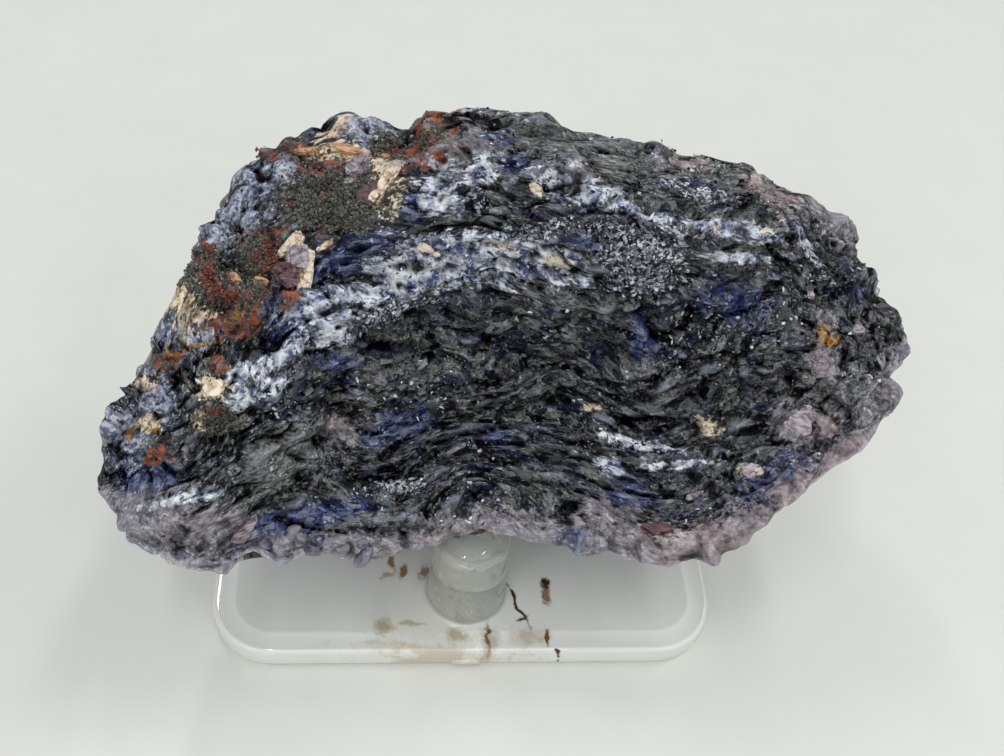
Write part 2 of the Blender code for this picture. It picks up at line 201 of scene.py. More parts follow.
# azimuth and elevation in degrees, and brightness
PANELS = ((-125.0, 34.0, 2.9), (-92.0, 56.0, 2.95), (-58.0, 34.0, 2.8), (-165.0, 50.0, 0.9),
          (-20.0, 50.0, 0.9), (20.0, 38.0, 0.8), (60.0, 56.0, 0.8), (100.0, 36.0, 0.8), (145.0, 52.0, 0.8),
          (178.0, 34.0, 0.8))
TUBE_WIDTH, TUBE_LENGTH, TUBE_BRIGHTNESS = 0.05, 0.5, 28.0
TUBES = {"tube left": (-0.35, 0.75, 1.15), "tube right": (0.4, 0.35, 1.3),
         "tube front": (-0.2, -0.25, 1.35), "tube low": (0.75, 0.3, 0.85)}
ROOM_COLOUR, ROOM_BRIGHTNESS = "#eef0f0", 0.12


def softbox(name, place, width, length, brightness, colour):
    """A rectangular lamp at a place in metres, aimed at the stone, with the brightness that it shows."""
    data = bpy.data.lights.new(name, "AREA")
    data.shape = "RECTANGLE"
    data.size = width
    data.size_y = length
    data.color = linear(colour)[:3]
    data.energy = math.pi * width * length * brightness
    back = unit(np.array(place) - np.array(LAMPS_AIM))
    side = unit(np.cross((0.0, 1.0, 0.0), back))
    set_in_place(bpy.data.objects.new(name, data), side, np.cross(back, side), back, place)


for azimuth, elevation, brightness in PANELS:
    turn, rise = math.radians(azimuth), math.radians(elevation)
    direction = np.array((math.cos(turn) * math.cos(rise), math.sin(turn) * math.cos(rise), math.sin(rise)))
    softbox("panel %d" % azimuth, PANEL_DISTANCE * direction, PANEL_SIDE, PANEL_SIDE, brightness, "#fcfdff")
for name, place in TUBES.items():
    softbox(name, place, TUBE_WIDTH, TUBE_LENGTH, TUBE_BRIGHTNESS, "#ffffff")
world = bpy.data.worlds.new("pale room")
world.use_nodes = True
background = world.node_tree.nodes["Background"]
background.inputs["Color"].default_value = linear(ROOM_COLOUR)
background.inputs["Strength"].default_value = ROOM_BRIGHTNESS
bpy.context.scene.world = world
bpy.context.scene.view_settings.view_transform = "Standard"
print(len(PANELS), "softboxes and", len(TUBES), "tubes")

# %% [markdown]
# ## Repeatable noise
#
# Broken stone has no pattern that repeats, yet the script has to make the same stone each time. So all its
# chance comes from one function that mixes whole numbers into a value from 0 to 1. Smooth noise blends
# those values between the points of a lattice. Chips give each lattice cell its own tilted plane, as
# cleavage does, and nodules give each cell a round dome.

# %% Noise, chips and nodules
MIX_X, MIX_Y, MIX_Z, MIX_SEED, LOW_BITS = 374761393, 668265263, 2246822519, 3266489917, 0xFFFFFFFF
CHIP_CRISPNESS, CHIP_LEVEL = 14.0, 0.35
DOME_SPREAD = 0.6
PATCH_RAGGED, PATCH_RAGGED_SIZE, PATCH_EDGE, PATCH_FADE = 0.18, 0.45, 1.1, 0.2


def lattice_value(place, seed):
    """A repeatable number from 0 to 1 for each lattice point: its place's bits, mixed and folded twice."""
    x, y, z = (place[..., k].astype(np.int64) for k in range(3))
    bits = (x * MIX_X + y * MIX_Y + z * MIX_Z + seed * MIX_SEED) & LOW_BITS
    bits = ((bits ^ (bits >> 15)) * MIX_Z) & LOW_BITS
    bits = ((bits ^ (bits >> 13)) * MIX_SEED) & LOW_BITS
    return (bits ^ (bits >> 16)) / LOW_BITS


def smooth_noise(points, size, seed):
    """Value noise from -1 to 1, with blobs as wide as size: eight lattice values blended by eased weights."""
    scaled = points / size
    base = np.floor(scaled)
    part = scaled - base
    ease = part * part * (3.0 - 2.0 * part)
    total = np.zeros(points.shape[:-1])
    for corner in range(8):
        step = np.array((corner & 1, (corner >> 1) & 1, (corner >> 2) & 1))
        weight = np.prod(np.where(step, ease, 1.0 - ease), axis=-1)
        total += weight * lattice_value(base + step, seed)
    return 2.0 * total - 1.0


def cell_neighbours(points, size, seed):
    """For each of the 27 lattice cells round a point: the offset from its jittered centre, and its place."""
    scaled = points / size
    base = np.floor(scaled)
    for index in range(27):
        place = base + np.array((index % 3 - 1, index // 3 % 3 - 1, index // 9 - 1))
        jitter = np.stack([lattice_value(place, seed + k) for k in range(3)], -1)
        yield scaled - place - jitter, place


def facets(points, size, seed):
    """Height in cell sizes of flat chips: each cell is a plane with its own level, tilt and soft edges."""
    weight_sum = np.zeros(points.shape[:-1])
    height_sum = np.zeros(points.shape[:-1])
    for away, place in cell_neighbours(points, size, seed):
        tilt = [2.0 * lattice_value(place, seed + 5 + k) - 1.0 for k in range(4)]
        level = (away[..., 0] * tilt[0] + away[..., 1] * tilt[1] + away[..., 2] * tilt[2]
                 + CHIP_LEVEL * tilt[3])
        weight = np.exp(-CHIP_CRISPNESS * np.sum(away * away, axis=-1))
        weight_sum += weight
        height_sum += weight * level
    return height_sum / np.maximum(weight_sum, 1e-12)


def nodules(points, size, seed):
    """Height from 0 to 1 of round lumps packed side by side: a dome over each cell's centre."""
    nearest = np.full(points.shape[:-1], np.inf)
    for away, _ in cell_neighbours(points, size, seed):
        nearest = np.minimum(nearest, np.sum(away * away, axis=-1))
    return np.sqrt(np.clip(1.0 - nearest / DOME_SPREAD, 0.0, 1.0))


def patch(points, centre, radii, seed):
    """1 inside a ragged ellipsoid and 0 outside it, with a short fade between."""
    reach = np.sqrt(np.sum(((points - np.array(centre)) / np.array(radii)) ** 2, axis=-1))
    ragged = reach + PATCH_RAGGED * smooth_noise(points, PATCH_RAGGED_SIZE * min(radii), seed)
    return np.clip((PATCH_EDGE - ragged) / PATCH_FADE, 0.0, 1.0)


print("noise at the origin", smooth_noise(np.zeros((1, 3)), 1.0, 1).round(3))

# %% [markdown]
# ## The form of the stone
#
# A broken stone is neither turned nor extruded. It could be sculpted, but a loft keeps it measurable:
# thirteen lines run from the left tip to the right tip, along the lip, the shelf above it, the dark valley,
# the bright ledge, the crest and so on round the back and underneath. A smooth curve is read along each
# line, and a section is closed through one point of every line. The same lines shape the solid, so this
# fine surface lies on it. The side that shows best gets closer points.

# %% Lines of the stone, in mm
LEFT_TIP = (-52.5, -22.0, 34.0)
RIGHT_TIP = (65.5, -2.5, 45.0)

# The lines of the stone, from the front lip over the top and back underneath, each left to right.
LIP = ((-45.0, -28.5, 29.5), (-38.5, -30.5, 27.5), (-25.5, -26.5, 25.5), (-7.0, -23.3, 23.5),
       (3.5, -20.2, 23.0), (18.0, -23.2, 24.0), (30.5, -27.0, 26.0), (42.0, -24.0, 31.0), (51.5, -18.7, 38.0),
       (58.0, -14.7, 42.0))
SHELF = ((-46.5, -26.0, 33.0), (-37.5, -25.0, 31.5), (-25.5, -15.5, 31.0), (-11.5, -6.5, 31.5),
         (8.5, -5.0, 31.0), (28.5, -8.0, 31.0), (43.0, -11.0, 34.0), (52.5, -11.0, 39.0), (57.5, -10.0, 43.0))
VALLEY = ((-47.0, -21.0, 35.5), (-37.5, -19.5, 37.0), (-26.0, -10.0, 38.5), (-14.5, -1.0, 40.0),
          (3.5, 1.5, 40.0), (25.0, -1.0, 39.5), (42.5, -3.5, 41.0), (52.0, -6.0, 43.5))
LEDGE = ((-49.0, -18.0, 38.0), (-39.0, -14.0, 41.0), (-28.5, -7.0, 45.0), (-17.5, 1.0, 48.0),
         (-5.0, 2.0, 50.5), (14.0, 1.0, 50.0), (32.5, 3.0, 49.0), (46.5, 3.0, 48.5), (55.5, -0.5, 47.0))
STEP = ((-50.0, -17.5, 39.5), (-43.0, -9.5, 45.0), (-34.5, 1.5, 50.0), (-23.5, 9.0, 54.0), (-12.0, 8.5, 57.0),
        (-2.5, 6.0, 59.5), (10.0, 3.0, 59.0), (22.0, 4.5, 58.0), (34.5, 5.5, 56.0), (46.0, 6.5, 53.5),
        (55.5, 3.0, 50.0))
CREST = ((-50.5, -17.0, 41.0), (-44.5, -7.5, 48.0), (-36.0, 7.5, 54.0), (-25.0, 16.5, 58.0),
         (-12.5, 16.5, 61.5), (-4.5, 18.5, 65.0), (1.5, 13.5, 65.5), (10.0, 8.0, 65.0), (18.5, 6.5, 63.5),
         (30.5, 6.0, 61.0), (42.5, 10.0, 58.5), (49.5, 8.5, 56.0), (56.0, 4.0, 52.0))
BROW = ((-50.5, -17.0, 41.0), (-46.8, -10.5, 46.0), (-42.3, -1.0, 51.0), (-38.5, 12.0, 56.0),
        (-32.5, 22.0, 59.0), (-20.5, 28.0, 61.0), (-12.5, 25.5, 62.0), (-4.0, 23.0, 68.0), (11.0, 20.0, 67.0),
        (23.0, 19.5, 65.0), (36.0, 19.5, 61.7), (48.0, 19.5, 58.0), (57.5, 15.0, 53.5), (62.5, 4.5, 49.0))
SHOULDER = ((-50.0, -15.0, 38.0), (-45.0, -2.0, 44.0), (-39.0, 15.0, 50.0), (-30.5, 25.5, 53.0),
            (-18.0, 31.0, 54.0), (-4.0, 28.5, 59.0), (14.0, 26.0, 59.0), (28.0, 25.5, 56.0),
            (42.0, 25.0, 53.0), (54.0, 20.0, 49.0), (62.0, 8.0, 46.0))
BELLY = ((-49.0, -14.0, 34.0), (-42.0, 4.0, 36.0), (-36.0, 20.0, 38.0), (-24.0, 29.0, 38.0),
         (-4.0, 30.0, 40.0), (16.0, 29.0, 40.0), (33.0, 28.0, 38.0), (48.0, 23.0, 38.0), (59.0, 11.0, 40.0))
HEEL = ((-47.0, -12.0, 31.0), (-38.0, 8.0, 28.0), (-27.0, 21.0, 24.0), (-8.0, 25.0, 22.0), (12.0, 25.5, 21.5),
        (28.0, 24.0, 22.5), (44.0, 17.0, 28.0), (56.0, 7.0, 35.0))
SOLE_BACK = ((-46.0, -15.0, 29.0), (-36.0, -2.0, 24.5), (-22.0, 10.0, 20.5), (0.0, 14.0, 20.0),
             (22.0, 14.0, 20.0), (40.0, 10.0, 25.0), (54.0, 3.0, 34.0))
SOLE_FRONT = ((-45.0, -22.0, 28.0), (-36.0, -20.0, 24.5), (-20.0, -14.0, 21.0), (0.0, -13.0, 19.6),
              (20.0, -14.0, 21.0), (36.0, -16.0, 24.0), (52.0, -9.0, 34.0))
UNDER_LIP = ((-44.5, -26.5, 28.0), (-37.5, -27.5, 26.0), (-24.0, -23.5, 22.5), (-6.5, -20.5, 20.4),
             (3.0, -18.5, 20.2), (17.0, -20.0, 21.5), (30.0, -24.0, 23.5), (42.0, -21.0, 28.5),
             (51.5, -16.5, 35.5), (58.0, -12.5, 40.0))
LINES = (LIP, SHELF, VALLEY, LEDGE, STEP, CREST, BROW, SHOULDER, BELLY, HEEL, SOLE_BACK, SOLE_FRONT,
         UNDER_LIP)
print(len(LINES), "lines,", sum(len(line) for line in LINES), "points")

# %% From lines to a grid of points
ROWS, COLUMNS = 330, 296
SPLINE_STEPS, SECTION_STEPS = 24, 16
CURVE_SHARE = 0.6
SHOWN_LINES = LINES.index(BROW) + 0.6
HIDDEN_DENSITY = 0.45
TIP_CROWDING, TIP_CALM, OVAL_WAVES = 0.25, 0.07, 3


def catmull_rom(before, start, end, after, t):
    """A point on the smooth curve from start to end, where t runs from 0 to 1."""
    return 0.5 * (2.0 * start + (end - before) * t + (2.0 * before - 5.0 * start + 4.0 * end - after) * t ** 2
                  + (3.0 * start - before - 3.0 * end + after) * t ** 3)


def spline(knots, samples):
    """The smooth curve through the knots, read at shares of its length."""
    knots = np.array(knots)
    ends = np.vstack([2.0 * knots[0] - knots[1], knots, 2.0 * knots[-1] - knots[-2]])
    t = np.linspace(0.0, 1.0, SPLINE_STEPS, endpoint=False)[:, None]
    pieces = [catmull_rom(*four, t) for four in zip(ends[:-3], ends[1:-2], ends[2:-1], ends[3:])]
    dense = np.vstack(pieces + [knots[-1:]])
    length = np.concatenate([[0.0], np.cumsum(np.linalg.norm(np.diff(dense, axis=0), axis=1))])
    return np.stack([np.interp(samples * length[-1], length, dense[:, k]) for k in range(3)], -1)


def round_section(corners, columns):
    """A closed outline through the corners, part straight and part curved, and each point's share of it."""
    t = np.linspace(0.0, 1.0, SECTION_STEPS, endpoint=False)[:, None]
    pieces = []
    for k in range(len(corners)):
        before, start, end, after = (corners[(k + j) % len(corners)] for j in (-1, 0, 1, 2))
        pieces.append(CURVE_SHARE * catmull_rom(before, start, end, after, t)
                      + (1.0 - CURVE_SHARE) * (start + (end - start) * t))
    dense = np.vstack(pieces + [corners[:1]])
    stretch = np.linalg.norm(np.diff(dense, axis=0), axis=1)
    length = np.concatenate([[0.0], np.cumsum(stretch)])
    shown = np.arange(len(stretch)) < SECTION_STEPS * SHOWN_LINES
    density = np.concatenate([[0.0], np.cumsum(stretch * np.where(shown, 1.0, HIDDEN_DENSITY))])
    places = np.interp(np.linspace(0.0, density[-1], columns, endpoint=False), density, length)
    return np.stack([np.interp(places, length, dense[:, k]) for k in range(3)], -1), places / length[-1]


def stone_form(rows, columns):
    """The smooth form, rows from left to right and columns round it. Near a tip it melts into an oval."""
    even = np.linspace(0.0, 1.0, rows + 2)[1:-1]
    samples = (1.0 - TIP_CROWDING) * even + TIP_CROWDING * (0.5 - 0.5 * np.cos(math.pi * even))
    lines = np.stack([spline((LEFT_TIP,) + line + (RIGHT_TIP,), samples) for line in LINES], 1)
    sections = [round_section(corners, columns) for corners in lines]
    grid, shares = np.stack([s[0] for s in sections]), np.stack([s[1] for s in sections])
    waves = np.fft.rfft(grid, axis=1)
    waves[:, OVAL_WAVES:] = 0.0
    oval = np.fft.irfft(waves, n=columns, axis=1)
    from_tip = np.clip(np.minimum(samples, 1.0 - samples) / TIP_CALM, 0.0, 1.0)[:, None, None]
    return oval + from_tip * (grid - oval), shares


def outward(grid):
    """Unit normals that point out of the stone: across the directions along a row and round a column."""
    around = np.roll(grid, -1, axis=1) - np.roll(grid, 1, axis=1)
    normal = unit(np.cross(np.gradient(grid, axis=0), around))
    return np.sign(np.sum(normal * (grid - grid.mean(axis=(0, 1))))) * normal


form, shares = stone_form(ROWS, COLUMNS)
facing = outward(form)
print("smooth form", form.min((0, 1)).round(1), form.max((0, 1)).round(1))

# %% [markdown]
# ## Finding a place on the stone
#
# Much of the stone's look is where its patches lie. Each one is written as it is seen in the photograph:
# the pixel of its middle, its half width and half height in pixels, and its turn in degrees. The camera
# above turns a pixel into the point of the stone that shows there, and the patch becomes an ellipsoid that
# hugs the surface, so it sits right from every side.

# %% From a pixel to a place
NEAR_PIXELS, NEAR_MARGIN = 4.0, 1.5
LEAST_SLANT, DEPTH_SHARE, LEAST_DEPTH = 0.35, 0.7, 2.5
offset = form - np.array(EYE_IN_MM)
depth = offset @ ahead
pixel_x = IMAGE_WIDTH / 2.0 + FOCAL_PIXELS * (offset @ view_right) / depth
pixel_y = IMAGE_HEIGHT / 2.0 - FOCAL_PIXELS * (offset @ view_up) / depth
towards_camera = np.sum(facing * offset, axis=-1) < 0.0


def seen_at(x, y):
    """Row and column of the stone's nearest point that shows within a few pixels of this one."""
    away = np.hypot(pixel_x - x, pixel_y - y)
    near = towards_camera & (away < max(NEAR_PIXELS, away[towards_camera].min() + NEAR_MARGIN))
    return np.unravel_index(np.argmin(np.where(near, depth, np.inf)), depth.shape)


def patch_reach(x, y, half_width, half_height, turn=0.0):
    """Distance from a patch's middle, 1 at its border, along the surface and out of it."""
    here = seen_at(x, y)
    out, scale = facing[here], FOCAL_PIXELS / depth[here]
    cosine, sine = math.cos(math.radians(turn)), math.sin(math.radians(turn))
    slant = np.stack([view_right * cosine + view_up * sine, view_up * cosine - view_right * sine])
    on_surface = slant - (slant @ out)[:, None] * out
    shrink = np.clip(np.linalg.norm(on_surface, axis=-1), LEAST_SLANT, 1.0)
    half = np.array((half_width, half_height)) / scale / shrink
    half = np.append(half, max(half.max() * DEPTH_SHARE, LEAST_DEPTH))
    on_surface /= np.linalg.norm(on_surface, axis=-1, keepdims=True)
    local = (form - form[here]) @ np.vstack([on_surface, out]).T
    return np.sqrt(np.sum((local / half) ** 2, axis=-1))


print("pixel (500, 330) shows the stone at", form[seen_at(500, 330)].round(1), "mm")

# %% [markdown]
# ## Zones of the stone
#
# The specimen isn't one mineral. Each zone below is a kind of surface that can be seen on it: crushed pale
# grain, glittering splinters, deep blue, clear lavender, weathered nodules, dark grit, rust, cream
# feldspar, mauve mica, ochre stains and faces with fine parallel lines. Both the relief and the colours
# read the same zones, so a rusty patch is rough where it is red.

# %% Where each kind of surface shows
# x, y, half width and half height in pixels, and turn in degrees
ZONES = {
    "pale": ((286, 350, 22, 8, 38), (262, 366, 14, 6, 42), (238, 373, 14, 8, 20), (276, 383, 13, 6, 30),
             (244, 399, 18, 7, 35), (342, 328, 26, 12, 30), (330, 300, 40, 12, 25), (400, 280, 46, 18, 15),
             (450, 262, 44, 22, 5), (505, 272, 30, 16, 0), (437, 195, 18, 14, 20), (430, 165, 16, 14, 40),
             (530, 262, 46, 14, -5), (575, 184, 36, 12, -15), (645, 210, 40, 5, -20), (728, 228, 44, 6, -8),
             (740, 258, 34, 4, -4), (812, 254, 26, 4, -50), (558, 278, 30, 9, -15), (480, 165, 18, 12, 30),
             (182, 496, 5, 30, -80), (610, 462, 14, 8, 0), (674, 462, 26, 3, 0), (640, 440, 30, 5, -10)),
    "spark": ((645, 266, 34, 30, 0), (478, 200, 8, 10, 0), (545, 232, 36, 8, 10), (392, 318, 44, 9, 15),
              (396, 488, 30, 7, 5), (700, 190, 34, 8, -10), (430, 140, 8, 8, 0), (620, 236, 24, 8, 0)),
    "blue": ((500, 130, 14, 10, 0), (512, 160, 12, 8, 0), (300, 312, 26, 18, 40), (336, 262, 22, 18, 30),
             (370, 236, 26, 12, 10), (408, 204, 20, 12, 0), (520, 248, 14, 4, 0), (590, 252, 28, 10, -10),
             (506, 275, 24, 12, 0), (646, 343, 10, 20, 10), (730, 305, 34, 16, -10), (870, 292, 10, 8, 0),
             (145, 472, 24, 14, 10), (312, 516, 46, 10, 10), (405, 418, 20, 14, 20), (380, 435, 10, 8, 0),
             (500, 438, 12, 9, 0), (778, 480, 32, 16, 30), (634, 492, 20, 8, 0), (565, 538, 18, 4, 0),
             (262, 300, 10, 12, 0), (343, 363, 18, 8, 0), (690, 185, 30, 8, 0)),
    "lavender": ((145, 522, 46, 36, 0), (210, 530, 40, 22, 0), (151, 355, 12, 16, 60), (470, 150, 30, 24, 0),
                 (584, 171, 13, 6, 0), (722, 222, 40, 8, -8), (833, 214, 28, 14, -40), (826, 360, 14, 20, 25),
                 (825, 318, 13, 8, 0), (865, 327, 6, 6, 0), (793, 423, 20, 18, 0), (612, 520, 28, 14, 15),
                 (420, 545, 60, 9, 8), (345, 548, 36, 14, -10), (285, 540, 24, 16, 0), (810, 470, 52, 13, 38),
                 (870, 430, 30, 14, 45), (540, 528, 50, 6, -10), (348, 433, 11, 10, 0), (596, 506, 18, 8, 0)),
    "nodule": ((262, 180, 24, 20, 0), (292, 170, 26, 14, 0), (246, 212, 24, 22, 0), (214, 238, 18, 18, 0),
               (222, 206, 14, 14, 0), (194, 334, 22, 16, 0), (366, 127, 22, 14, 0), (160, 400, 16, 24, 20),
               (128, 440, 18, 26, 0)),
    "grit": ((336, 196, 48, 26, 0), (256, 254, 20, 16, 0), (210, 278, 18, 26, 15), (250, 293, 13, 16, 0),
             (384, 137, 12, 12, 0), (220, 420, 14, 12, 0), (352, 214, 24, 10, 0)),
    "rust": ((294, 148, 42, 11, -5), (268, 234, 18, 10, 0), (246, 290, 20, 22, 0), (234, 318, 20, 14, 0),
             (416, 142, 32, 20, 35), (172, 360, 9, 9, 0), (218, 362, 9, 11, 0), (156, 452, 10, 8, 20),
             (318, 162, 18, 7, 0), (290, 300, 10, 10, 0)),
    "cream": ((386, 176, 12, 38, 8), (340, 147, 32, 8, -8), (184, 294, 16, 34, 20), (336, 128, 16, 8, 25),
              (149, 384, 8, 5, 0), (150, 425, 12, 7, 0), (214, 388, 13, 11, 0), (500, 251, 11, 3, -20),
              (705, 428, 11, 6, -30), (591, 411, 8, 3, 10), (716, 227, 7, 2, -15), (763, 233, 5, 2, 0),
              (747, 471, 8, 4, 0), (560, 272, 14, 4, -15), (204, 420, 8, 8, 0)),
    "mauve": ((776, 192, 26, 20, -35), (690, 158, 22, 6, -10), (705, 543, 44, 18, 10), (654, 528, 18, 9, 0),
              (822, 422, 12, 9, 0), (754, 183, 7, 11, 0), (800, 500, 44, 10, 38), (840, 455, 30, 10, 42),
              (370, 192, 14, 13, 0), (357, 165, 14, 9, 0), (345, 428, 10, 8, 0), (470, 540, 36, 6, 5)),
    "gold": ((828, 334, 8, 10, 0), (172, 354, 4, 4, 0), (202, 344, 14, 2, 15), (131, 437, 2, 6, -20),
             (343, 223, 7, 2, 0), (415, 148, 7, 4, 35), (160, 430, 3, 3, 0), (350, 149, 14, 3, -8),
             (302, 143, 12, 3, 0), (422, 131, 8, 6, 40), (236, 314, 10, 3, 10)),
    "striated": ((606, 146, 110, 26, -12), (290, 455, 50, 26, 35), (840, 392, 36, 24, 40)),
}
ZONE_TOP, ZONE_FALL = 1.15, 0.6
reaches = {name: np.min([patch_reach(*spot) for spot in spots], axis=0) for name, spots in ZONES.items()}
zones = {name: np.clip(ZONE_TOP - ZONE_FALL * reach, -1.0, 1.0) for name, reach in reaches.items()}
print({name: round(float((weight > 0.5).mean()), 3) for name, weight in zones.items()})

# %% [markdown]
# The lip is lavender all along, so its zone is a band of a few millimetres round the stone's lowest line.
# The sides that the photograph doesn't show get pale, blue and lavender blotches: their zones are raised
# there to a level at which noise lets some of them through.

# %% The lip and the hidden sides
LIP_BAND, LIP_RAGGED, LIP_RAGGED_SIZE = 2.6, 0.5, 9.0
HIDDEN_LEVELS = {"pale": 0.30, "blue": 0.32, "lavender": 0.38}
HIDDEN_DROP = 0.4
girth = np.linalg.norm(np.roll(form, -1, axis=1) - form, axis=-1).sum(axis=1, keepdims=True)
from_lip = np.minimum(shares, 1.0 - shares) * girth
lip_ragged = 1.0 + LIP_RAGGED * smooth_noise(form, LIP_RAGGED_SIZE, 71)
near_lip = ZONE_TOP - ZONE_FALL * from_lip / (LIP_BAND * lip_ragged)
zones["lavender"] = np.maximum(zones["lavender"], np.clip(near_lip, -1.0, 1.0))
hidden = np.clip(0.5 + np.sum(facing * unit(offset), axis=-1), 0.0, 1.0)
for name, level in HIDDEN_LEVELS.items():
    zones[name] = np.maximum(zones[name], level - HIDDEN_DROP + HIDDEN_DROP * hidden)
print("share of the form that the camera doesn't see", round(float((hidden > 0.5).mean()), 2))

# %% [markdown]
# ## The broken surface
#
# The solid carries the relief that shows from a step away: big cleavage chips, long ledges, and the
# nodules, lumps and hollows of the crust. The same steps are repeated here, so that finer ones can be added
# to them.

# %% Relief that the solid has too, in mm
CHIP_STRETCH = np.array((0.55, 1.0, 1.0))
CHIP_SIZE, CHIP_HEIGHT = 7.0, 2.0
SPLINTER_SIZE, SPLINTER_HEIGHT = 3.4, 0.7
LEDGE_SIZE, LEDGE_STRETCH, LEDGE_HEIGHT, LEDGE_FADE = 2.6, 5.0, 0.5, 0.12
STONE_LENGTH, RING_RADIUS = 150.0, 24.0
SWELL_SIZE, SWELL_HEIGHT, RELIEF_BASE = 14.0, 0.8, -0.35
NODULE_SIZE, NODULE_HEIGHT, NODULE_SINK, CRUST_SHARE = 4.2, 1.8, 0.6, 0.6
LEAST_AT_TIP = 0.15
# centre and radii
CRUST_PATCHES = (((-34.0, 12.0, 56.0), (9.0, 12.0, 9.0)), ((-41.0, -3.0, 48.0), (5.0, 6.0, 6.0)),
                 ((-18.0, 27.0, 62.0), (6.0, 5.0, 5.0)))
# centre, radius and height
LUMPS_AND_HOLLOWS = (((-19.0, 27.0, 62.0), 5.0, 1.4), ((-13.0, 24.0, 62.0), 3.0, -2.4),
                     ((-5.5, 22.0, 66.5), 1.8, -1.4), ((-13.0, 15.0, 60.5), 4.0, 1.4),
                     ((-26.5, 5.0, 51.5), 3.5, 1.2), ((5.0, 6.0, 61.0), 5.0, -2.6),
                     ((-31.0, -27.5, 27.0), 2.4, -2.6), ((-24.0, -26.5, 25.5), 2.0, -2.2),
                     ((-16.0, -25.5, 24.0), 6.0, 1.4), ((-50.5, -25.5, 33.0), 4.5, 2.0),
                     ((54.0, 5.0, 52.0), 4.0, -1.6), ((57.0, 1.0, 48.0), 3.0, -1.2),
                     ((60.5, 4.0, 50.0), 2.4, -2.2), ((63.5, 1.0, 47.0), 4.0, 1.8))


def ridges(places, size, seed):
    """Sharp ridges between smooth hollows: noise folded at zero, from -1 to 1."""
    return 1.0 - 2.0 * np.abs(smooth_noise(places, size, seed))


from_tip = np.minimum(np.linspace(0.0, 1.0, ROWS), np.linspace(1.0, 0.0, ROWS))[:, None]
turn = 2.0 * math.pi * shares
unrolled = np.broadcast_to(np.linspace(0.0, STONE_LENGTH / LEDGE_STRETCH, ROWS)[:, None], shares.shape)
tube = np.stack([unrolled, RING_RADIUS * np.cos(turn), RING_RADIUS * np.sin(turn)], -1)
coarse = CHIP_HEIGHT * facets(form * CHIP_STRETCH, CHIP_SIZE, 11)
coarse += SPLINTER_HEIGHT * facets(form * CHIP_STRETCH, SPLINTER_SIZE, 23)
ledges = LEDGE_HEIGHT * ridges(tube, LEDGE_SIZE, 31) * np.clip((from_tip - TIP_CALM) / LEDGE_FADE, 0.0, 1.0)
coarse = RELIEF_BASE + coarse + ledges + SWELL_HEIGHT * smooth_noise(form, SWELL_SIZE, 41)
crusted = np.max([patch(form, centre, radii, 51) for centre, radii in CRUST_PATCHES], axis=0)
crust = crusted * NODULE_HEIGHT * (nodules(form, NODULE_SIZE, 61) - NODULE_SINK)
coarse = coarse * (1.0 - CRUST_SHARE * crusted) + crust
for centre, radius, height in LUMPS_AND_HOLLOWS:
    distance = np.linalg.norm(form - np.array(centre), axis=-1)
    coarse += height * np.exp(-(distance / radius) ** 2)
coarse *= np.clip(from_tip / TIP_CALM, LEAST_AT_TIP, 1.0)
print("relief of the solid from", coarse.min().round(2), "to", coarse.max().round(2), "mm")

# %% [markdown]
# The fracture runs lengthwise, but it sways. So a second set of coordinates follows it: the length along
# the stone and a circle round it, both pushed about by noise. Ridges, splinters and fibres that are read
# there bend together, as the layers of the real stone do. Where the faces are striated, the lines stay
# straight.

# %% Flow of the fracture
SWAY_SIZE, SWAY_HEIGHT = 14.0, 3.5
WAVE_SIZE, WAVE_HEIGHT = 5.0, 1.0
STRAIGHTENED = 0.8
row_length = np.concatenate([[0.0], np.cumsum(np.linalg.norm(np.diff(form.mean(axis=1), axis=0), axis=-1))])
sway = np.stack([smooth_noise(form, SWAY_SIZE, 81 + k) for k in range(3)], -1)
wave = np.stack([smooth_noise(form, WAVE_SIZE, 85 + k) for k in range(3)], -1)
ring_radius = girth / (2.0 * math.pi)
along = row_length[:, None] + 0.0 * turn
flow = np.stack([along, ring_radius * np.cos(turn), ring_radius * np.sin(turn)], -1)
bending = 1.0 - STRAIGHTENED * np.clip(zones["striated"], 0.0, 1.0)
flow += bending[..., None] * (SWAY_HEIGHT * sway + WAVE_HEIGHT * wave)
print("length along the stone", row_length[-1].round(1), "mm, girth up to", girth.max().round(1), "mm")

# %% [markdown]
# Each kind of surface has its own fine relief: wavy steps and splinters on the glassy faces, grain on the
# pale ones, blocks at the lip, and small lumps on the crust. Real relief makes real shadows and glints,
# which a painted bump can't do at a low angle.

# %% Fine relief, in mm


def domes(points, size, seed):
    """Round lumps packed side by side, from half a height below the surface to half a height above it."""
    return nodules(points, size, seed) - 0.5


READ_AT = {"form": form, "along": flow * np.array((0.22, 1.0, 1.0)),
           "half along": flow * np.array((0.5, 1.0, 1.0))}
# shape, where it is read, size, height, seed
TEXTURES = {"steps": ((ridges, "along", 3.2, 0.30, 90), (ridges, "along", 1.5, 0.15, 91)),
            "splinters": ((facets, "half along", 2.4, 0.7, 101), (facets, "along", 1.2, 0.30, 102)),
            "grains": ((facets, "form", 1.1, 0.6, 104), (facets, "form", 2.6, 0.6, 106)),
            "blocks": ((facets, "form", 3.0, 0.6, 105), (facets, "form", 1.5, 0.25, 107)),
            "lumps": ((domes, "form", 2.5, 1.7, 109), (facets, "form", 1.3, 0.55, 108)),
            "crumbs": ((domes, "form", 2.2, 0.9, 111), (facets, "form", 1.1, 0.3, 113))}
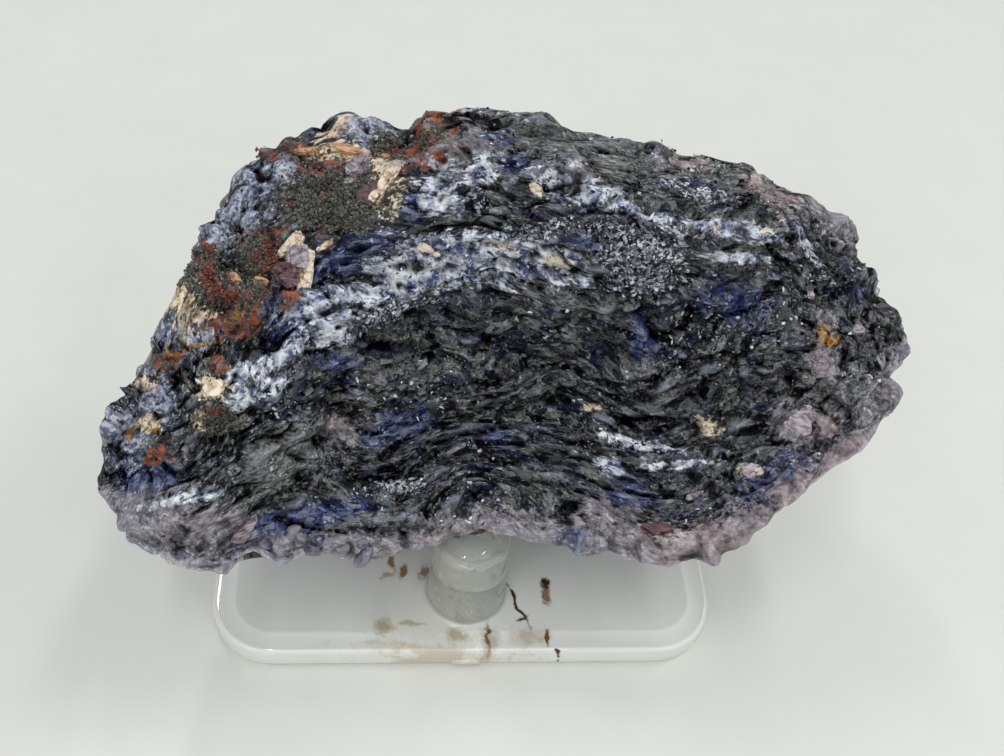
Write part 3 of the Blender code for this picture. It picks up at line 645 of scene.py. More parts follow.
# zone, its texture, the texture's strength, and how much of what was there stays
OVERLAYS = (("pale", "grains", 1.0, 0.8), ("lavender", "blocks", 1.0, 0.15), ("mauve", "blocks", 0.6, 0.15),
            ("nodule", "lumps", 1.0, 0.0), ("grit", "crumbs", 1.0, 0.1), ("rust", "crumbs", 1.0, 0.2),
            ("cream", "splinters", 0.5, 0.2), ("spark", "blocks", 0.8, 0.5))
ZONE_GAIN, ZONE_START = 2.5, 0.9
CRACK_DEPTH, CRACK_SIZE, CRACK_WIDTH = 0.9, 2.3, 0.10
FINE_TIP_SHARE, LEAST_FINE = 0.4, 0.3
textures = {name: sum(height * shape(READ_AT[where], size, seed)
                      for shape, where, size, height, seed in layers)
            for name, layers in TEXTURES.items()}
cracks = -CRACK_DEPTH * np.exp(-(smooth_noise(READ_AT["along"], CRACK_SIZE, 94) / CRACK_WIDTH) ** 2)
fine = textures["steps"] + textures["splinters"] + cracks
for zone, texture, strength, keep in OVERLAYS:
    share = np.clip(ZONE_GAIN * zones[zone] - ZONE_START, 0.0, 1.0)
    fine = fine + share * (strength * textures[texture] + keep * fine - fine)
fine *= np.clip(from_tip / (FINE_TIP_SHARE * TIP_CALM), LEAST_FINE, 1.0)
print("fine relief from", fine.min().round(2), "to", fine.max().round(2), "mm")

# %% [markdown]
# The stone rests on three pegs. The rough surface is kept a small gap above their tops, so that nothing cuts
# into the plastic, and over each peg it is drawn down to that gap, so that the stone doesn't hover.

# %% Surface and its seats on the pegs
PEG_CENTRES = ((0.0, -19.0), (-21.0, 18.0), (21.0, 18.0))
SEAT_RADIUS, SEAT_REACH, SEAT_SOFTNESS, GAP = 4.0, 2.6, 1.4, 0.3
seat = stand_high[2] + GAP
relief = coarse + fine
surface = form + relief[..., None] * facing
surface[..., 2] = np.maximum(surface[..., 2], seat)
for x, y in PEG_CENTRES:
    off_axis = np.hypot(surface[..., 0] - x, surface[..., 1] - y)
    beneath = (surface[..., 2] < seat + SEAT_REACH) & (off_axis < SEAT_RADIUS)
    press = np.where(beneath, np.clip(SEAT_SOFTNESS - off_axis / SEAT_RADIUS, 0.0, 1.0), 0.0)
    surface[..., 2] += press * (seat - surface[..., 2])
print("stone from", surface.min((0, 1)).round(1), "to", surface.max((0, 1)).round(1), "mm")

# %% [markdown]
# ## What the stone is made of
#
# One material covers the stone, as on the real one, and its zones blend by raggedly edged masks. The glassy
# mineral is nearly black with deep blue where light gets into it; its small cleavage faces each lean their
# own way, so some flash and others don't. That is done by tilting the shading normal of every small cell of
# a Voronoi pattern. First come the patterns. Those with a stretch are drawn out along the flow of the
# fracture.

# %% Patterns in the stone
LAYERS = {"zones_a": ("pale", "lavender", "blue"), "zones_b": ("nodule", "grit", "rust"),
          "zones_c": ("cream", "mauve", "gold"), "zones_d": ("striated", "height", "spark")}
# size in mm, stretch, distortion
NOISES = {"fine": (0.6, 1.0, 0.0), "middle": (2.2, 1.0, 0.3), "broad": (9.0, 1.0, 0.0),
          "fibre": (0.38, 4.0, 0.4), "wisp": (0.85, 1.9, 0.5), "streak": (2.9, 2.2, 0.8)}
# size in mm, stretch
CELLS = {"crumb": (0.42, 1.0), "scale": (0.62, 2.6), "domain": (1.7, 2.0)}
CRUMB_SHARE = 0.35
stone_material, tree, shader = fresh_material("glassy cordierite, broken", IOR=1.54, Subsurface_Scale=0.004,
                                              Subsurface_Radius=(1.0, 0.9, 1.1))
place = add(tree, "TexCoord", output="Object")
along = add(tree, "Attribute", attribute_name="flow", output="Vector")
masks = {}
for label, names in LAYERS.items():
    read = add(tree, "Attribute", attribute_name=label, output="Color")
    parts = add(tree, "SeparateColor", {0: read}).node
    masks.update({name: parts.outputs[k] for k, name in enumerate(names)})
look = dict(masks)
for name, (size, stretch, distortion) in NOISES.items():
    where = place if stretch == 1.0 else along
    drawn = add(tree, "Mapping", {"Vector": where, "Scale": (1.0 / stretch, 1.0, 1.0)})
    look[name] = add(tree, "TexNoise", {"Vector": drawn, "Scale": 1.0 / (size * MM), "Detail": 4.0,
                                        "Roughness": 0.7, "Distortion": distortion})
for name, (size, stretch) in CELLS.items():
    where = place if stretch == 1.0 else along
    drawn = add(tree, "Mapping", {"Vector": where, "Scale": (1.0 / stretch, 1.0, 1.0)})
    look[name] = add(tree, "TexVoronoi", {"Vector": drawn, "Scale": 1.0 / (size * MM)}, output="Color")
    parts = add(tree, "SeparateColor", {0: look[name]}).node
    look.update({name + "_" + letter: parts.outputs[k] for k, letter in enumerate("abc")})
crumbs = add(tree, "Math", {0: look["crumb_a"], 1: CRUMB_SHARE, 2: -0.5 * CRUMB_SHARE},
             operation="MULTIPLY_ADD")
look["grainy"] = add(tree, "Math", {0: look["wisp"], 1: crumbs}, operation="ADD")
print(len(tree.nodes), "nodes make the patterns")

# %% [markdown]
# The colours are laid on like coats of paint, from the dark mineral up to the last ochre stain. A coat lies
# where its zone, frayed by a pattern, is high enough. Its own colour runs from dark to light with a second
# pattern. At the end, painted shade darkens the hollows, and ridges are greyed, partly as wear and partly as
# a painted highlight.

# %% Coats of colour
# zone or None, pattern that frays its edge, pattern that colours it and its range, dark, light, strength
COATS = ((None, None, "streak", (0.38, 0.62), "#030406", "#10151a", 1.0),
         ("broad", "wisp", "domain_c", (0.3, 0.98), "#07090a", "#7d817d", 0.6),
         # Sparse pale scales scattered over the dark body: painted glints.
         ("domain_b", "fibre", "scale_a", (0.6, 1.0), "#08090b", "#a3a8a8", 0.45),
         ("domain_a", None, "grainy", (0.35, 0.65), "#070a1a", "#1a2550", 0.5),
         ("striated", "wisp", "fibre", (0.38, 0.62), "#15181a", "#8b8d8b", 0.9),
         ("lavender", "wisp", "middle", (0.32, 0.62), "#22232a", "#aaa5aa", 0.85),
         ("lavender", "middle", "fibre", (0.48, 0.62), "#5f5d68", "#d2cdd0", 0.4),
         ("blue", "wisp", "grainy", (0.38, 0.68), "#03050f", "#26387f", 0.8),
         ("blue", "fibre", "scale_b", (0.6, 0.9), "#1a2754", "#a3b0cc", 0.4),
         ("pale", "middle", "wisp", (0.38, 0.53), "#161f3c", "#b2bfd0", 0.95),
         ("pale", "wisp", "middle", (0.40, 0.56), "#33487f", "#f4f7fa", 0.8),
         # The glittering zone gets pale cells on its dark ground: painted glints.
         ("spark", "wisp", "scale_b", (0.68, 0.93), "#04060a", "#d3dce4", 0.85),
         ("mauve", "wisp", "middle", (0.34, 0.66), "#4c3d46", "#c2b2b0", 0.85),
         # The nodules run dark to light with their height: painted shade between the lumps and painted light
         # on their tops.
         ("nodule", "middle", "height", (0.36, 0.95), "#070a16", "#94a0c0", 1.0),
         ("nodule", "fibre", "grainy", (0.42, 0.64), "#2f3c6a", "#dde1e6", 0.55),
         ("grit", "middle", "crumb_a", (0.3, 0.9), "#0c0c0a", "#5b5a4f", 1.0),
         ("rust", "middle", "middle", (0.34, 0.66), "#2c120c", "#a3593c", 1.0),
         ("cream", "wisp", "grainy", (0.34, 0.54), "#86694a", "#e8d9bd", 0.95),
         ("gold", "middle", "fine", (0.4, 0.6), "#7c5018", "#d09a34", 0.8))
FRAY = 3.2
FRAYED_EDGE, CLEAN_EDGE = (0.42, 0.60), (0.74, 0.80)
colour = None
for zone, fray, paint, (low, high), dark, light, strength in COATS:
    share = add(tree, "MapRange", {"Value": look[paint], "From Min": low, "From Max": high})
    coat = add(tree, "Mix", {"Factor": share, "A": linear(dark), "B": linear(light)}, data_type="RGBA")
    if zone is None:
        colour = coat
        continue
    cover, (thin, full) = look[zone], CLEAN_EDGE
    if fray:
        frayed = add(tree, "Math", {0: look[fray], 1: FRAY, 2: -0.5 * FRAY}, operation="MULTIPLY_ADD")
        cover, (thin, full) = add(tree, "Math", {0: cover, 1: frayed}, operation="ADD"), FRAYED_EDGE
    cover = add(tree, "MapRange", {"Value": cover, "From Min": thin, "From Max": full, "To Max": strength})
    colour = add(tree, "Mix", {"Factor": cover, "A": colour, "B": coat}, data_type="RGBA")
print(len(COATS), "coats")

# %% Pale threads, worn and highlit ridges, and painted shade in the gaps
THREAD_AND_RIDGE_HIGHLIGHT_COLOUR = "#929ca8"
fibres = add(tree, "MapRange", {"Value": look["fibre"], "From Min": 0.58, "From Max": 0.66, "To Max": 0.4})
parted = add(tree, "MapRange", {"Value": look["streak"], "From Min": 0.45, "From Max": 0.60})
threads = add(tree, "Math", {0: fibres, 1: parted}, operation="MULTIPLY")
# The highest ridges turn pale grey, partly as chipped wear and partly as a painted highlight.
worn_and_highlit_ridges = add(tree, "MapRange", {"Value": masks["height"], "From Min": 0.68, "From Max": 0.95, "To Max": 0.6})
threads = add(tree, "Math", {0: threads, 1: worn_and_highlit_ridges}, operation="MAXIMUM")
colour = add(tree, "Mix", {"Factor": threads, "A": colour, "B": linear(THREAD_AND_RIDGE_HIGHLIGHT_COLOUR)}, data_type="RGBA")
# Painted shade: the colour is darkened where the surface sinks below the relief round it, in hollows and
# gaps.
painted_hollow_shade = add(tree, "MapRange", {"Value": masks["height"], "From Min": 0.18, "From Max": 0.48, "To Min": 0.04})
colour = add(tree, "Mix", {"Factor": 1.0, "A": colour, "B": painted_hollow_shade}, data_type="RGBA", blend_type="MULTIPLY")
tree.links.new(colour, shader.inputs["Base Color"])

# %% Gloss, glitter and the milky edge
DULL_ROUGHNESS, MILKY_SHARE = 0.75, 0.7
FACE_LEANS = {"scale": 0.55, "crumb": 0.35, "domain": 0.75}
dull = add(tree, "Math", {0: masks["grit"], 1: masks["rust"]}, operation="MAXIMUM")
dull = add(tree, "Math", {0: dull, 1: masks["cream"]}, operation="MAXIMUM")
gloss = add(tree, "MapRange", {"Value": look["domain_b"], "To Min": 0.05, "To Max": 0.20})
rough = add(tree, "Mix", {"Factor": dull, "A": gloss, "B": DULL_ROUGHNESS})
tree.links.new(rough, shader.inputs["Roughness"])
milky = add(tree, "Math", {0: masks["lavender"], 1: MILKY_SHARE}, operation="MULTIPLY")
tree.links.new(milky, shader.inputs["Subsurface Weight"])
tilted = add(tree, "Bump", {"Strength": 0.22, "Distance": 0.0003, "Height": look["fibre"]})
for name, swing in FACE_LEANS.items():
    lean = add(tree, "VectorMath", {0: look[name], 1: (0.5, 0.5, 0.5)}, operation="SUBTRACT")
    lean = add(tree, "VectorMath", {0: lean, "Scale": swing}, operation="SCALE")
    tilted = add(tree, "VectorMath", {0: tilted, 1: lean}, operation="ADD")
tilted = add(tree, "VectorMath", {0: tilted}, operation="NORMALIZE")
tree.links.new(tilted, shader.inputs["Normal"])
print(len(tree.nodes), "nodes in the stone's material")

# %% [markdown]
# ## The stone as one mesh
#
# The grid of points closes round each row, and a fan of triangles closes each tip. Every point carries its
# zones, its flow coordinates, and how far it stands above the relief round it, which tells the material
# where ridges and gaps are, so that it paints shade in the gaps and partly a highlight on the ridges.

# %% Stone mesh
SMOOTHING_PASSES, STONE_SHARP_DEGREES = 12, 24.0


def closed_grid_faces(rows, columns):
    """Quads between the rings, and a fan of triangles from each tip; the tips are the last two points."""
    i, j = np.meshgrid(np.arange(rows - 1), np.arange(columns), indexing="ij")
    k = (j + 1) % columns
    here, above = i * columns, (i + 1) * columns
    quads = np.stack([here + j, here + k, above + k, above + j], -1).reshape(-1, 4)
    ring = np.arange(columns)
    after = (ring + 1) % columns
    left_fan = np.stack([np.full(columns, rows * columns), after, ring], -1)
    last = (rows - 1) * columns
    right_fan = np.stack([np.full(columns, rows * columns + 1), last + ring, last + after], -1)
    return quads, np.vstack([left_fan, right_fan])


def turned_out(points, faces):
    """The same faces, in the order that makes the closed shape's volume positive."""
    volume = 0.0
    for group in faces:
        a, b, c = (points[group[:, k]] for k in (0, 1, 2))
        volume += np.sum(a * np.cross(b, c))
        if group.shape[1] == 4:
            volume += np.sum(a * np.cross(c, points[group[:, 3]]))
    return faces if volume > 0 else [group[:, ::-1] for group in faces]


def with_tips(grid):
    """The grid as a list of points, with the middles of its first and last row added."""
    return np.vstack([grid.reshape(-1, grid.shape[-1]), grid[0].mean(axis=0), grid[-1].mean(axis=0)])


smoothed = relief.copy()
for _ in range(SMOOTHING_PASSES):
    smoothed = (smoothed + np.roll(smoothed, 1, axis=1) + np.roll(smoothed, -1, axis=1)) / 3.0
    smoothed[1:-1] = (smoothed[2:] + smoothed[1:-1] + smoothed[:-2]) / 3.0
marks = {**zones, "height": np.clip(0.5 + 0.5 * (relief - smoothed), 0.0, 1.0)}
attributes = {label: with_tips(np.stack([marks[name] for name in names], -1))
              for label, names in LAYERS.items()}
attributes["flow"] = with_tips(flow) * MM
stone_points = with_tips(surface)
stone_faces = turned_out(stone_points, closed_grid_faces(ROWS, COLUMNS))
stone = mesh_piece("stone", stone_points, stone_faces, stone_material, STONE_SHARP_DEGREES, **attributes)
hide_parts("specimen")

# %% [markdown]
# ## Setting small pieces on the stone
#
# Grains, flakes and small crystals are pieces of their own. They could be scattered by geometry nodes, but
# arrays do it more plainly: choose places on the surface by a weight, build a small frame of three
# directions at each, and shape all the pieces at once. Every piece is sunk part way, so nothing hangs in
# the air.

# %% Choosing places, frames and block shapes
NEAREST_CUT, LEAST_COSINE, LONGEST_REACH = 0.5, 0.05, 1.35
surface_facing = outward(surface)
lengthwise = np.gradient(surface, axis=0)
cell_area = np.linalg.norm(np.cross(lengthwise, np.roll(surface, -1, axis=1) - surface), axis=-1)
lengthwise /= np.linalg.norm(lengthwise, axis=-1, keepdims=True)


def pick_places(weight, count, seed):
    """Places on the surface, chosen with a chance of weight times area, with their normals and lengthwise
    directions."""
    chance = np.random.default_rng(seed)
    share = (np.clip(weight, 0.0, None) * cell_area)[1:-1].ravel()
    cell = chance.choice(share.size, size=count, p=share / share.sum()) + COLUMNS
    row, column = cell // COLUMNS, cell % COLUMNS
    slide = chance.uniform(-0.5, 0.5, (count, 2, 1))
    here = surface[row, column]
    place = here + slide[:, 0] * (surface[row + 1, column] - here)
    place += slide[:, 1] * (surface[row, (column + 1) % COLUMNS] - here)
    return place, surface_facing[row, column], lengthwise[row, column]


def leaning_frames(normals, along, tilt, turn, seed):
    """Three directions a place: along, across and out, with out tilted and along turned by chance."""
    chance = np.random.default_rng(seed)
    out = unit(normals + tilt * chance.normal(size=normals.shape))
    first = unit(along + turn * chance.normal(size=along.shape))
    across = unit(np.cross(out, first))
    return np.stack([np.cross(across, out), across, out], 1)


def cut_blocks(centres, frames, half_sizes, seed, cuts=9, rows=3, columns=5):
    """Closed crystals with flat faces. Each direction goes out from the centre until it meets the nearest
    cut: the distance is the least of each cut's own distance divided by the cosine between the two."""
    chance = np.random.default_rng(seed)
    count = len(centres)
    tilt = np.linspace(0.0, math.pi, rows + 2)[1:-1, None]
    turn = 2.0 * math.pi * np.arange(columns)[None] / columns
    ring = np.stack([np.sin(tilt) * np.cos(turn), np.sin(tilt) * np.sin(turn), np.cos(tilt) + 0.0 * turn], -1)
    rays = np.vstack([ring.reshape(-1, 3), (0.0, 0.0, 1.0), (0.0, 0.0, -1.0)])
    normals = unit(chance.normal(size=(count, cuts, 3)))
    distances = chance.uniform(NEAREST_CUT, 1.0, (count, cuts, 1))
    reach = (distances / np.maximum(normals @ rays.T, LEAST_COSINE)).min(axis=1)
    local = rays * np.minimum(reach, LONGEST_REACH)[..., None] * half_sizes[:, None]
    points = centres[:, None] + local @ frames
    one = turned_out(points[0], closed_grid_faces(rows, columns))
    shift = (np.arange(count) * len(rays))[:, None, None]
    faces = [(group[None] + shift).reshape(-1, group.shape[1]) for group in one]
    return points.reshape(-1, 3), faces


def scattered_blocks(weight, count, seed, sizes, spread, lean, shape=1.0, sink=0.0, sink_share=0.0, **cut):
    """Blocks on the surface as points, faces and a grey of each block's own. Their half sizes are drawn by
    chance in mm, and each block is sunk by a length and by a share of its half size."""
    places, normals, along = pick_places(weight, count, seed)
    chance = np.random.default_rng(seed + 1)
    half_sizes = chance.uniform(*sizes, (count, 1)) * chance.uniform(*spread, (count, 3)) * shape
    frames = leaning_frames(normals, along, *lean, seed + 2)
    centres = places - (sink + sink_share * half_sizes[:, :1]) * normals
    points, faces = cut_blocks(centres, frames, half_sizes, seed + 3, **cut)
    tint = np.repeat(chance.uniform(0.0, 1.0, count), len(points) // count)[:, None] * np.ones(3)
    return points, faces, tint


print("surface area", round(float(cell_area.sum() / 100.0), 1), "square cm")

# %% [markdown]
# ## Cleavage chips
#
# Crushed cordierite breaks into little glassy splinters, and each one flashes when its face turns to a
# lamp. They lie along the fracture, thin and half sunk. Some are clear and pale, their white partly a
# painted glint, more are dark, and the glittering places of the stone have the most of them.

# %% Where the chips lie
CHIPS, CHIP_SEED = 6500, 201
ON_PALE, ON_SPARK, ON_BODY, ON_HIDDEN = 0.12, 1.6, 0.06, 0.3
UNDERSIDE_SLOPE = -0.3
crusty = np.max([zones[name] for name in ("nodule", "grit", "rust", "cream")], axis=0)
crusty = np.clip(2.0 * crusty - 0.6, 0.0, 1.0)
pale_strips = smooth_noise(flow * np.array((0.4, 1.0, 1.0)), 3.0, CHIP_SEED) > 0.0
body_strips = smooth_noise(flow * np.array((0.5, 1.0, 1.0)), 4.0, CHIP_SEED + 5)
chip_weight = ON_PALE * np.clip(zones["pale"], 0.0, 1.0) ** 3 * pale_strips
chip_weight += ON_SPARK * np.clip(2.0 * zones["spark"] - 0.6, 0.0, 1.0)
chip_weight += ON_BODY * np.clip(2.5 * body_strips - 0.3, 0.0, 1.0)
on_top = np.where(facing[..., 2] > UNDERSIDE_SLOPE, 1.0, ON_HIDDEN)
chip_weight *= (1.0 - crusty) * on_top * (1.0 - np.clip(near_lip, 0.0, 1.0))
print("share of the surface with chips", round(float((chip_weight > 0.05).mean()), 2))

# %% Cleavage chips
CHIP_SIZES, CHIP_SPREAD, CHIP_LEAN = (0.3, 1.2), (0.6, 1.4), (0.6, 0.8)
CHIP_SHAPE, CHIP_SINK = np.array((0.52, 0.30, 0.16)), 0.05
chip_points, chip_faces, tint = scattered_blocks(chip_weight, CHIPS, CHIP_SEED + 1, CHIP_SIZES, CHIP_SPREAD,
                                                 CHIP_LEAN, CHIP_SHAPE, CHIP_SINK)
chip_material, tree, shader = fresh_material("clear cordierite splinters", IOR=1.54, Roughness=0.08)
read = add(tree, "Attribute", attribute_name="tint", output="Fac")
share = add(tree, "Math", {0: read, 1: 3.0}, operation="POWER")
where = add(tree, "TexCoord", output="Object")
cloud = add(tree, "TexNoise", {"Vector": where, "Scale": 1.0 / (0.8 * MM)})
tone = add(tree, "Mix", {"Factor": cloud, "A": linear("#040509"), "B": linear("#0f1734")}, data_type="RGBA")
# The palest chips are near white: partly clear pale grain, partly a painted glint.
tone = add(tree, "Mix", {"Factor": share, "A": tone, "B": linear("#e6ecf4")}, data_type="RGBA")
tree.links.new(tone, shader.inputs["Base Color"])
chips = mesh_piece("cleavage_chips", chip_points, chip_faces, chip_material, tint=tint)

# %% [markdown]
# ## Gritty crust
#
# The weathered part is a rough dark grit of tiny crystals, dull and grey-green, with rusty ones between.
# Single grains catch the light one by one and cast tiny shadows, which is what makes it look like grit and
# not like paint.

# %% Grit
GRAINS, GRIT_SEED = 6000, 212
GRAIN_SIZES, GRAIN_SPREAD, GRAIN_LEAN = (0.12, 0.36), (0.7, 1.2), (1.0, 1.0)
ON_RUST = 0.22
grit_weight = np.clip(2.0 * zones["grit"] - 0.5, 0.0, 1.0)
grit_weight += ON_RUST * np.clip(2.0 * zones["rust"] - 0.8, 0.0, 1.0)
grain_points, grain_faces, tint = scattered_blocks(grit_weight, GRAINS, GRIT_SEED, GRAIN_SIZES, GRAIN_SPREAD,
                                                   GRAIN_LEAN)
grit_material, tree, shader = fresh_material("weathered grit", Roughness=0.28, IOR=1.6)
read = add(tree, "Attribute", attribute_name="tint", output="Fac")
where = add(tree, "TexCoord", output="Object")
stain = add(tree, "TexNoise", {"Vector": where, "Scale": 1.0 / (4.0 * MM), "Detail": 3.0})
tone = add(tree, "Mix", {"Factor": read, "A": linear("#090908"), "B": linear("#66665c")}, data_type="RGBA")
share = add(tree, "MapRange", {"Value": stain, "From Min": 0.56, "From Max": 0.62})
tone = add(tree, "Mix", {"Factor": share, "A": tone, "B": linear("#6e3a2c")}, data_type="RGBA")
tree.links.new(tone, shader.inputs["Base Color"])
grit = mesh_piece("crust_grit", grain_points, grain_faces, grit_material, tint=tint)

# %% [markdown]
# ## Lavender crystals of the lip
#
# Where the stone thins to its lower edge, the mineral is clear lavender and breaks into small blocks. They
# stand together in the rim and lean outwards. Each is milky inside and glassy outside, so it passes some
# light.

# %% Lip crystals
LIP_CRYSTALS, LIP_SEED = 18, 222
LIP_SIZES, LIP_SPREAD, LIP_LEAN = (0.8, 1.9), (0.5, 1.1), (0.5, 0.8)
LIP_REACH, LIP_SINK = 3.5, 0.65
# x, y, half width and half height in pixels
LIP_SPOTS = ((285, 536, 34, 14), (335, 548, 34, 10), (608, 520, 30, 14))
lip_weight = np.exp(-(from_lip / LIP_REACH) ** 2)
lip_weight *= np.clip(1.5 - np.min([patch_reach(*spot) for spot in LIP_SPOTS], axis=0), 0.0, 1.0)
lip_points, lip_faces, tint = scattered_blocks(lip_weight, LIP_CRYSTALS, LIP_SEED, LIP_SIZES, LIP_SPREAD,
                                               LIP_LEAN, sink_share=LIP_SINK, cuts=7, rows=9, columns=16)
lip_material, tree, shader = fresh_material("milky lavender cordierite", IOR=1.54, Roughness=0.14,
                                            Transmission_Weight=0.35, Subsurface_Weight=0.6,
                                            Subsurface_Scale=0.003, Subsurface_Radius=(1.0, 0.8, 1.3))
read = add(tree, "Attribute", attribute_name="tint", output="Fac")
where = add(tree, "TexCoord", output="Object")
cloud = add(tree, "TexNoise", {"Vector": where, "Scale": 1.0 / (2.5 * MM), "Detail": 3.0})
tone = add(tree, "Mix", {"Factor": read, "A": linear("#6b687a"), "B": linear("#b0a9b0")}, data_type="RGBA")
share = add(tree, "MapRange", {"Value": cloud, "From Min": 0.5, "From Max": 0.62})
tone = add(tree, "Mix", {"Factor": share, "A": tone, "B": linear("#4a4d68")}, data_type="RGBA")
tree.links.new(tone, shader.inputs["Base Color"])
lip_crystals = mesh_piece("lip_crystals", lip_points, lip_faces, lip_material, tint=tint)

# %% [markdown]
# ## Flakes of feldspar and mica
#
# Mica splits into thin sheets, and feldspar into flat blocks with steps. Both are stacks: each sheet has
# its own ragged outline and the next one is a little smaller and shifted, so the edge shows its layers.

# %% Flakes
FLAKE_COLUMNS, FLAKE_CUTS = 48, 4
# kind, pixel, half length, half width, thickness in mm, sheets, turn in degrees, squareness
FLAKES = (("cream", (306, 268), 1.3, 4.0, 1.9, 5, -32.0, 9.0),
          ("cream", (292, 246), 2.4, 1.0, 1.6, 4, 8.0, 6.0),
          ("mica", (290, 277), 1.9, 2.2, 2.2, 4, -20.0, 5.0),
          ("mauve", (298, 260), 1.8, 2.2, 2.0, 4, -25.0, 5.0),
          ("cream", (326, 242), 1.6, 0.5, 0.9, 2, 10.0, 6.0),
          ("cream", (384, 184), 1.0, 3.8, 1.0, 3, -25.0, 5.0),
          ("tan", (346, 147), 3.4, 0.8, 0.9, 3, -30.0, 5.0), ("tan", (384, 150), 1.1, 1.0, 1.2, 3, 10.0, 3.0),
          ("tan", (306, 143), 2.4, 0.7, 0.8, 3, -34.0, 4.0),
          ("mica", (370, 192), 2.4, 2.2, 1.3, 4, 40.0, 4.0),
          ("mauve", (357, 163), 2.2, 1.3, 1.1, 3, 30.0, 5.0),
          ("mauve", (348, 176), 1.6, 1.1, 0.9, 3, -20.0, 5.0),
          ("tan", (237, 278), 1.0, 1.4, 1.2, 3, 0.0, 3.0), ("tan", (261, 278), 0.7, 1.2, 1.0, 3, 20.0, 3.0),
          ("mauve", (820, 362), 1.5, 3.1, 0.9, 3, -28.0, 1.4),
          ("mauve", (793, 423), 3.2, 3.0, 0.6, 3, 15.0, 1.2),
          ("cream", (532, 184), 1.6, 0.8, 0.7, 2, -30.0, 5.0),
          ("mauve", (865, 327), 0.9, 0.8, 0.5, 2, 10.0, 4.0),
          ("cream", (214, 388), 1.8, 1.6, 0.9, 3, 20.0, 3.0),
          ("mica", (654, 528), 2.4, 1.2, 0.7, 3, 10.0, 3.0),
          ("mauve", (747, 471), 1.7, 0.9, 0.6, 2, 0.0, 4.0),
          ("cream", (421, 252), 2.0, 0.7, 0.5, 2, -20.0, 4.0),
          ("mauve", (811, 298), 0.6, 0.6, 0.5, 2, 0.0, 4.0),
          ("mauve", (694, 491), 1.7, 1.2, 0.6, 2, 30.0, 4.0),
          ("mauve", (250, 530), 1.4, 3.0, 0.8, 3, -35.0, 4.0))
# dark colour, light colour, roughness
FLAKE_LOOKS = {"cream": ("#9d8163", "#eee0cc", 0.45), "mica": ("#33232b", "#6b4a50", 0.25),
               "mauve": ("#5c545f", "#b0a4a9", 0.2), "tan": ("#8a5c3c", "#cda07a", 0.4)}
SHEET_SHRINK, SHEET_SHIFT, FLAKE_SINK = 0.35, 0.14, 0.45
RAGGED, FINE_RAGGED, BUCKLE = 0.09, 0.04, 0.10


def broken_outline(squareness, chance):
    """A rounded rectangle of half size 1 as points round its middle, with a few straight breaks cut off."""
    angle = 2.0 * math.pi * np.arange(FLAKE_COLUMNS) / FLAKE_COLUMNS
    ring = np.stack([np.cos(angle), np.sin(angle)], -1)
    ring /= np.sum(np.abs(ring) ** squareness, axis=-1, keepdims=True) ** (1.0 / squareness)
    cut_turns = chance.uniform(0.0, 2.0 * math.pi, (FLAKE_CUTS, 1))
    cut_distances = chance.uniform(0.7, 1.0, (FLAKE_CUTS, 1))
    cuts = (cut_distances / np.maximum(np.cos(angle - cut_turns), LEAST_COSINE)).min(axis=0)
    return ring * np.minimum(1.0, cuts / np.linalg.norm(ring, axis=-1))[:, None]


def sheet_stack(pixel, half_length, half_width, thickness, sheets, turn, squareness, seed):
    """A pile of sheets on the stone. Each gives two rings, low and high, of one broken outline with noise of
    its own, and the next is a little smaller and shifted."""
    row, column = seen_at(*pixel)
    out = unit(surface_facing[row - 2:row + 3, column - 2:column + 3].mean(axis=(0, 1)))
    across = unit(np.cross(out, lengthwise[row, column]))
    cosine, sine = math.cos(math.radians(turn)), math.sin(math.radians(turn))
    axes = np.array(((cosine, sine), (-sine, cosine))) @ np.stack([np.cross(across, out), across])
    chance = np.random.default_rng(seed)
    ring = broken_outline(squareness, chance)
    sheet = np.repeat(np.arange(sheets), 2)
    level = np.arange(2 * sheets) // 2 + np.arange(2 * sheets) % 2
    shrink = SHEET_SHRINK * (sheet / max(sheets - 1, 1)) ** 1.5 * chance.uniform(0.5, 1.2, sheets)[sheet]
    shift = chance.uniform(-SHEET_SHIFT, SHEET_SHIFT, (sheets, 2))[sheet]
    ring_x, ring_y = 4.0 * ring[None, :, 0], 4.0 * ring[None, :, 1]
    at = np.stack(np.broadcast_arrays(ring_x, ring_y, 3.0 * sheet[:, None]), -1)
    ragged = 1.0 + RAGGED * smooth_noise(at, 1.3, seed) + FINE_RAGGED * smooth_noise(at, 0.5, seed + 1)
    flat = ring[None] * ((1.0 - shrink)[:, None] * ragged)[..., None] + shift[:, None]
    flat = flat * np.array((half_length, half_width))
    height = thickness * (level / sheets - FLAKE_SINK)[:, None]
    height = height + BUCKLE * thickness * smooth_noise(at, 0.8, seed + 2)
    return with_tips(surface[row, column] + flat @ axes + height[..., None] * out)


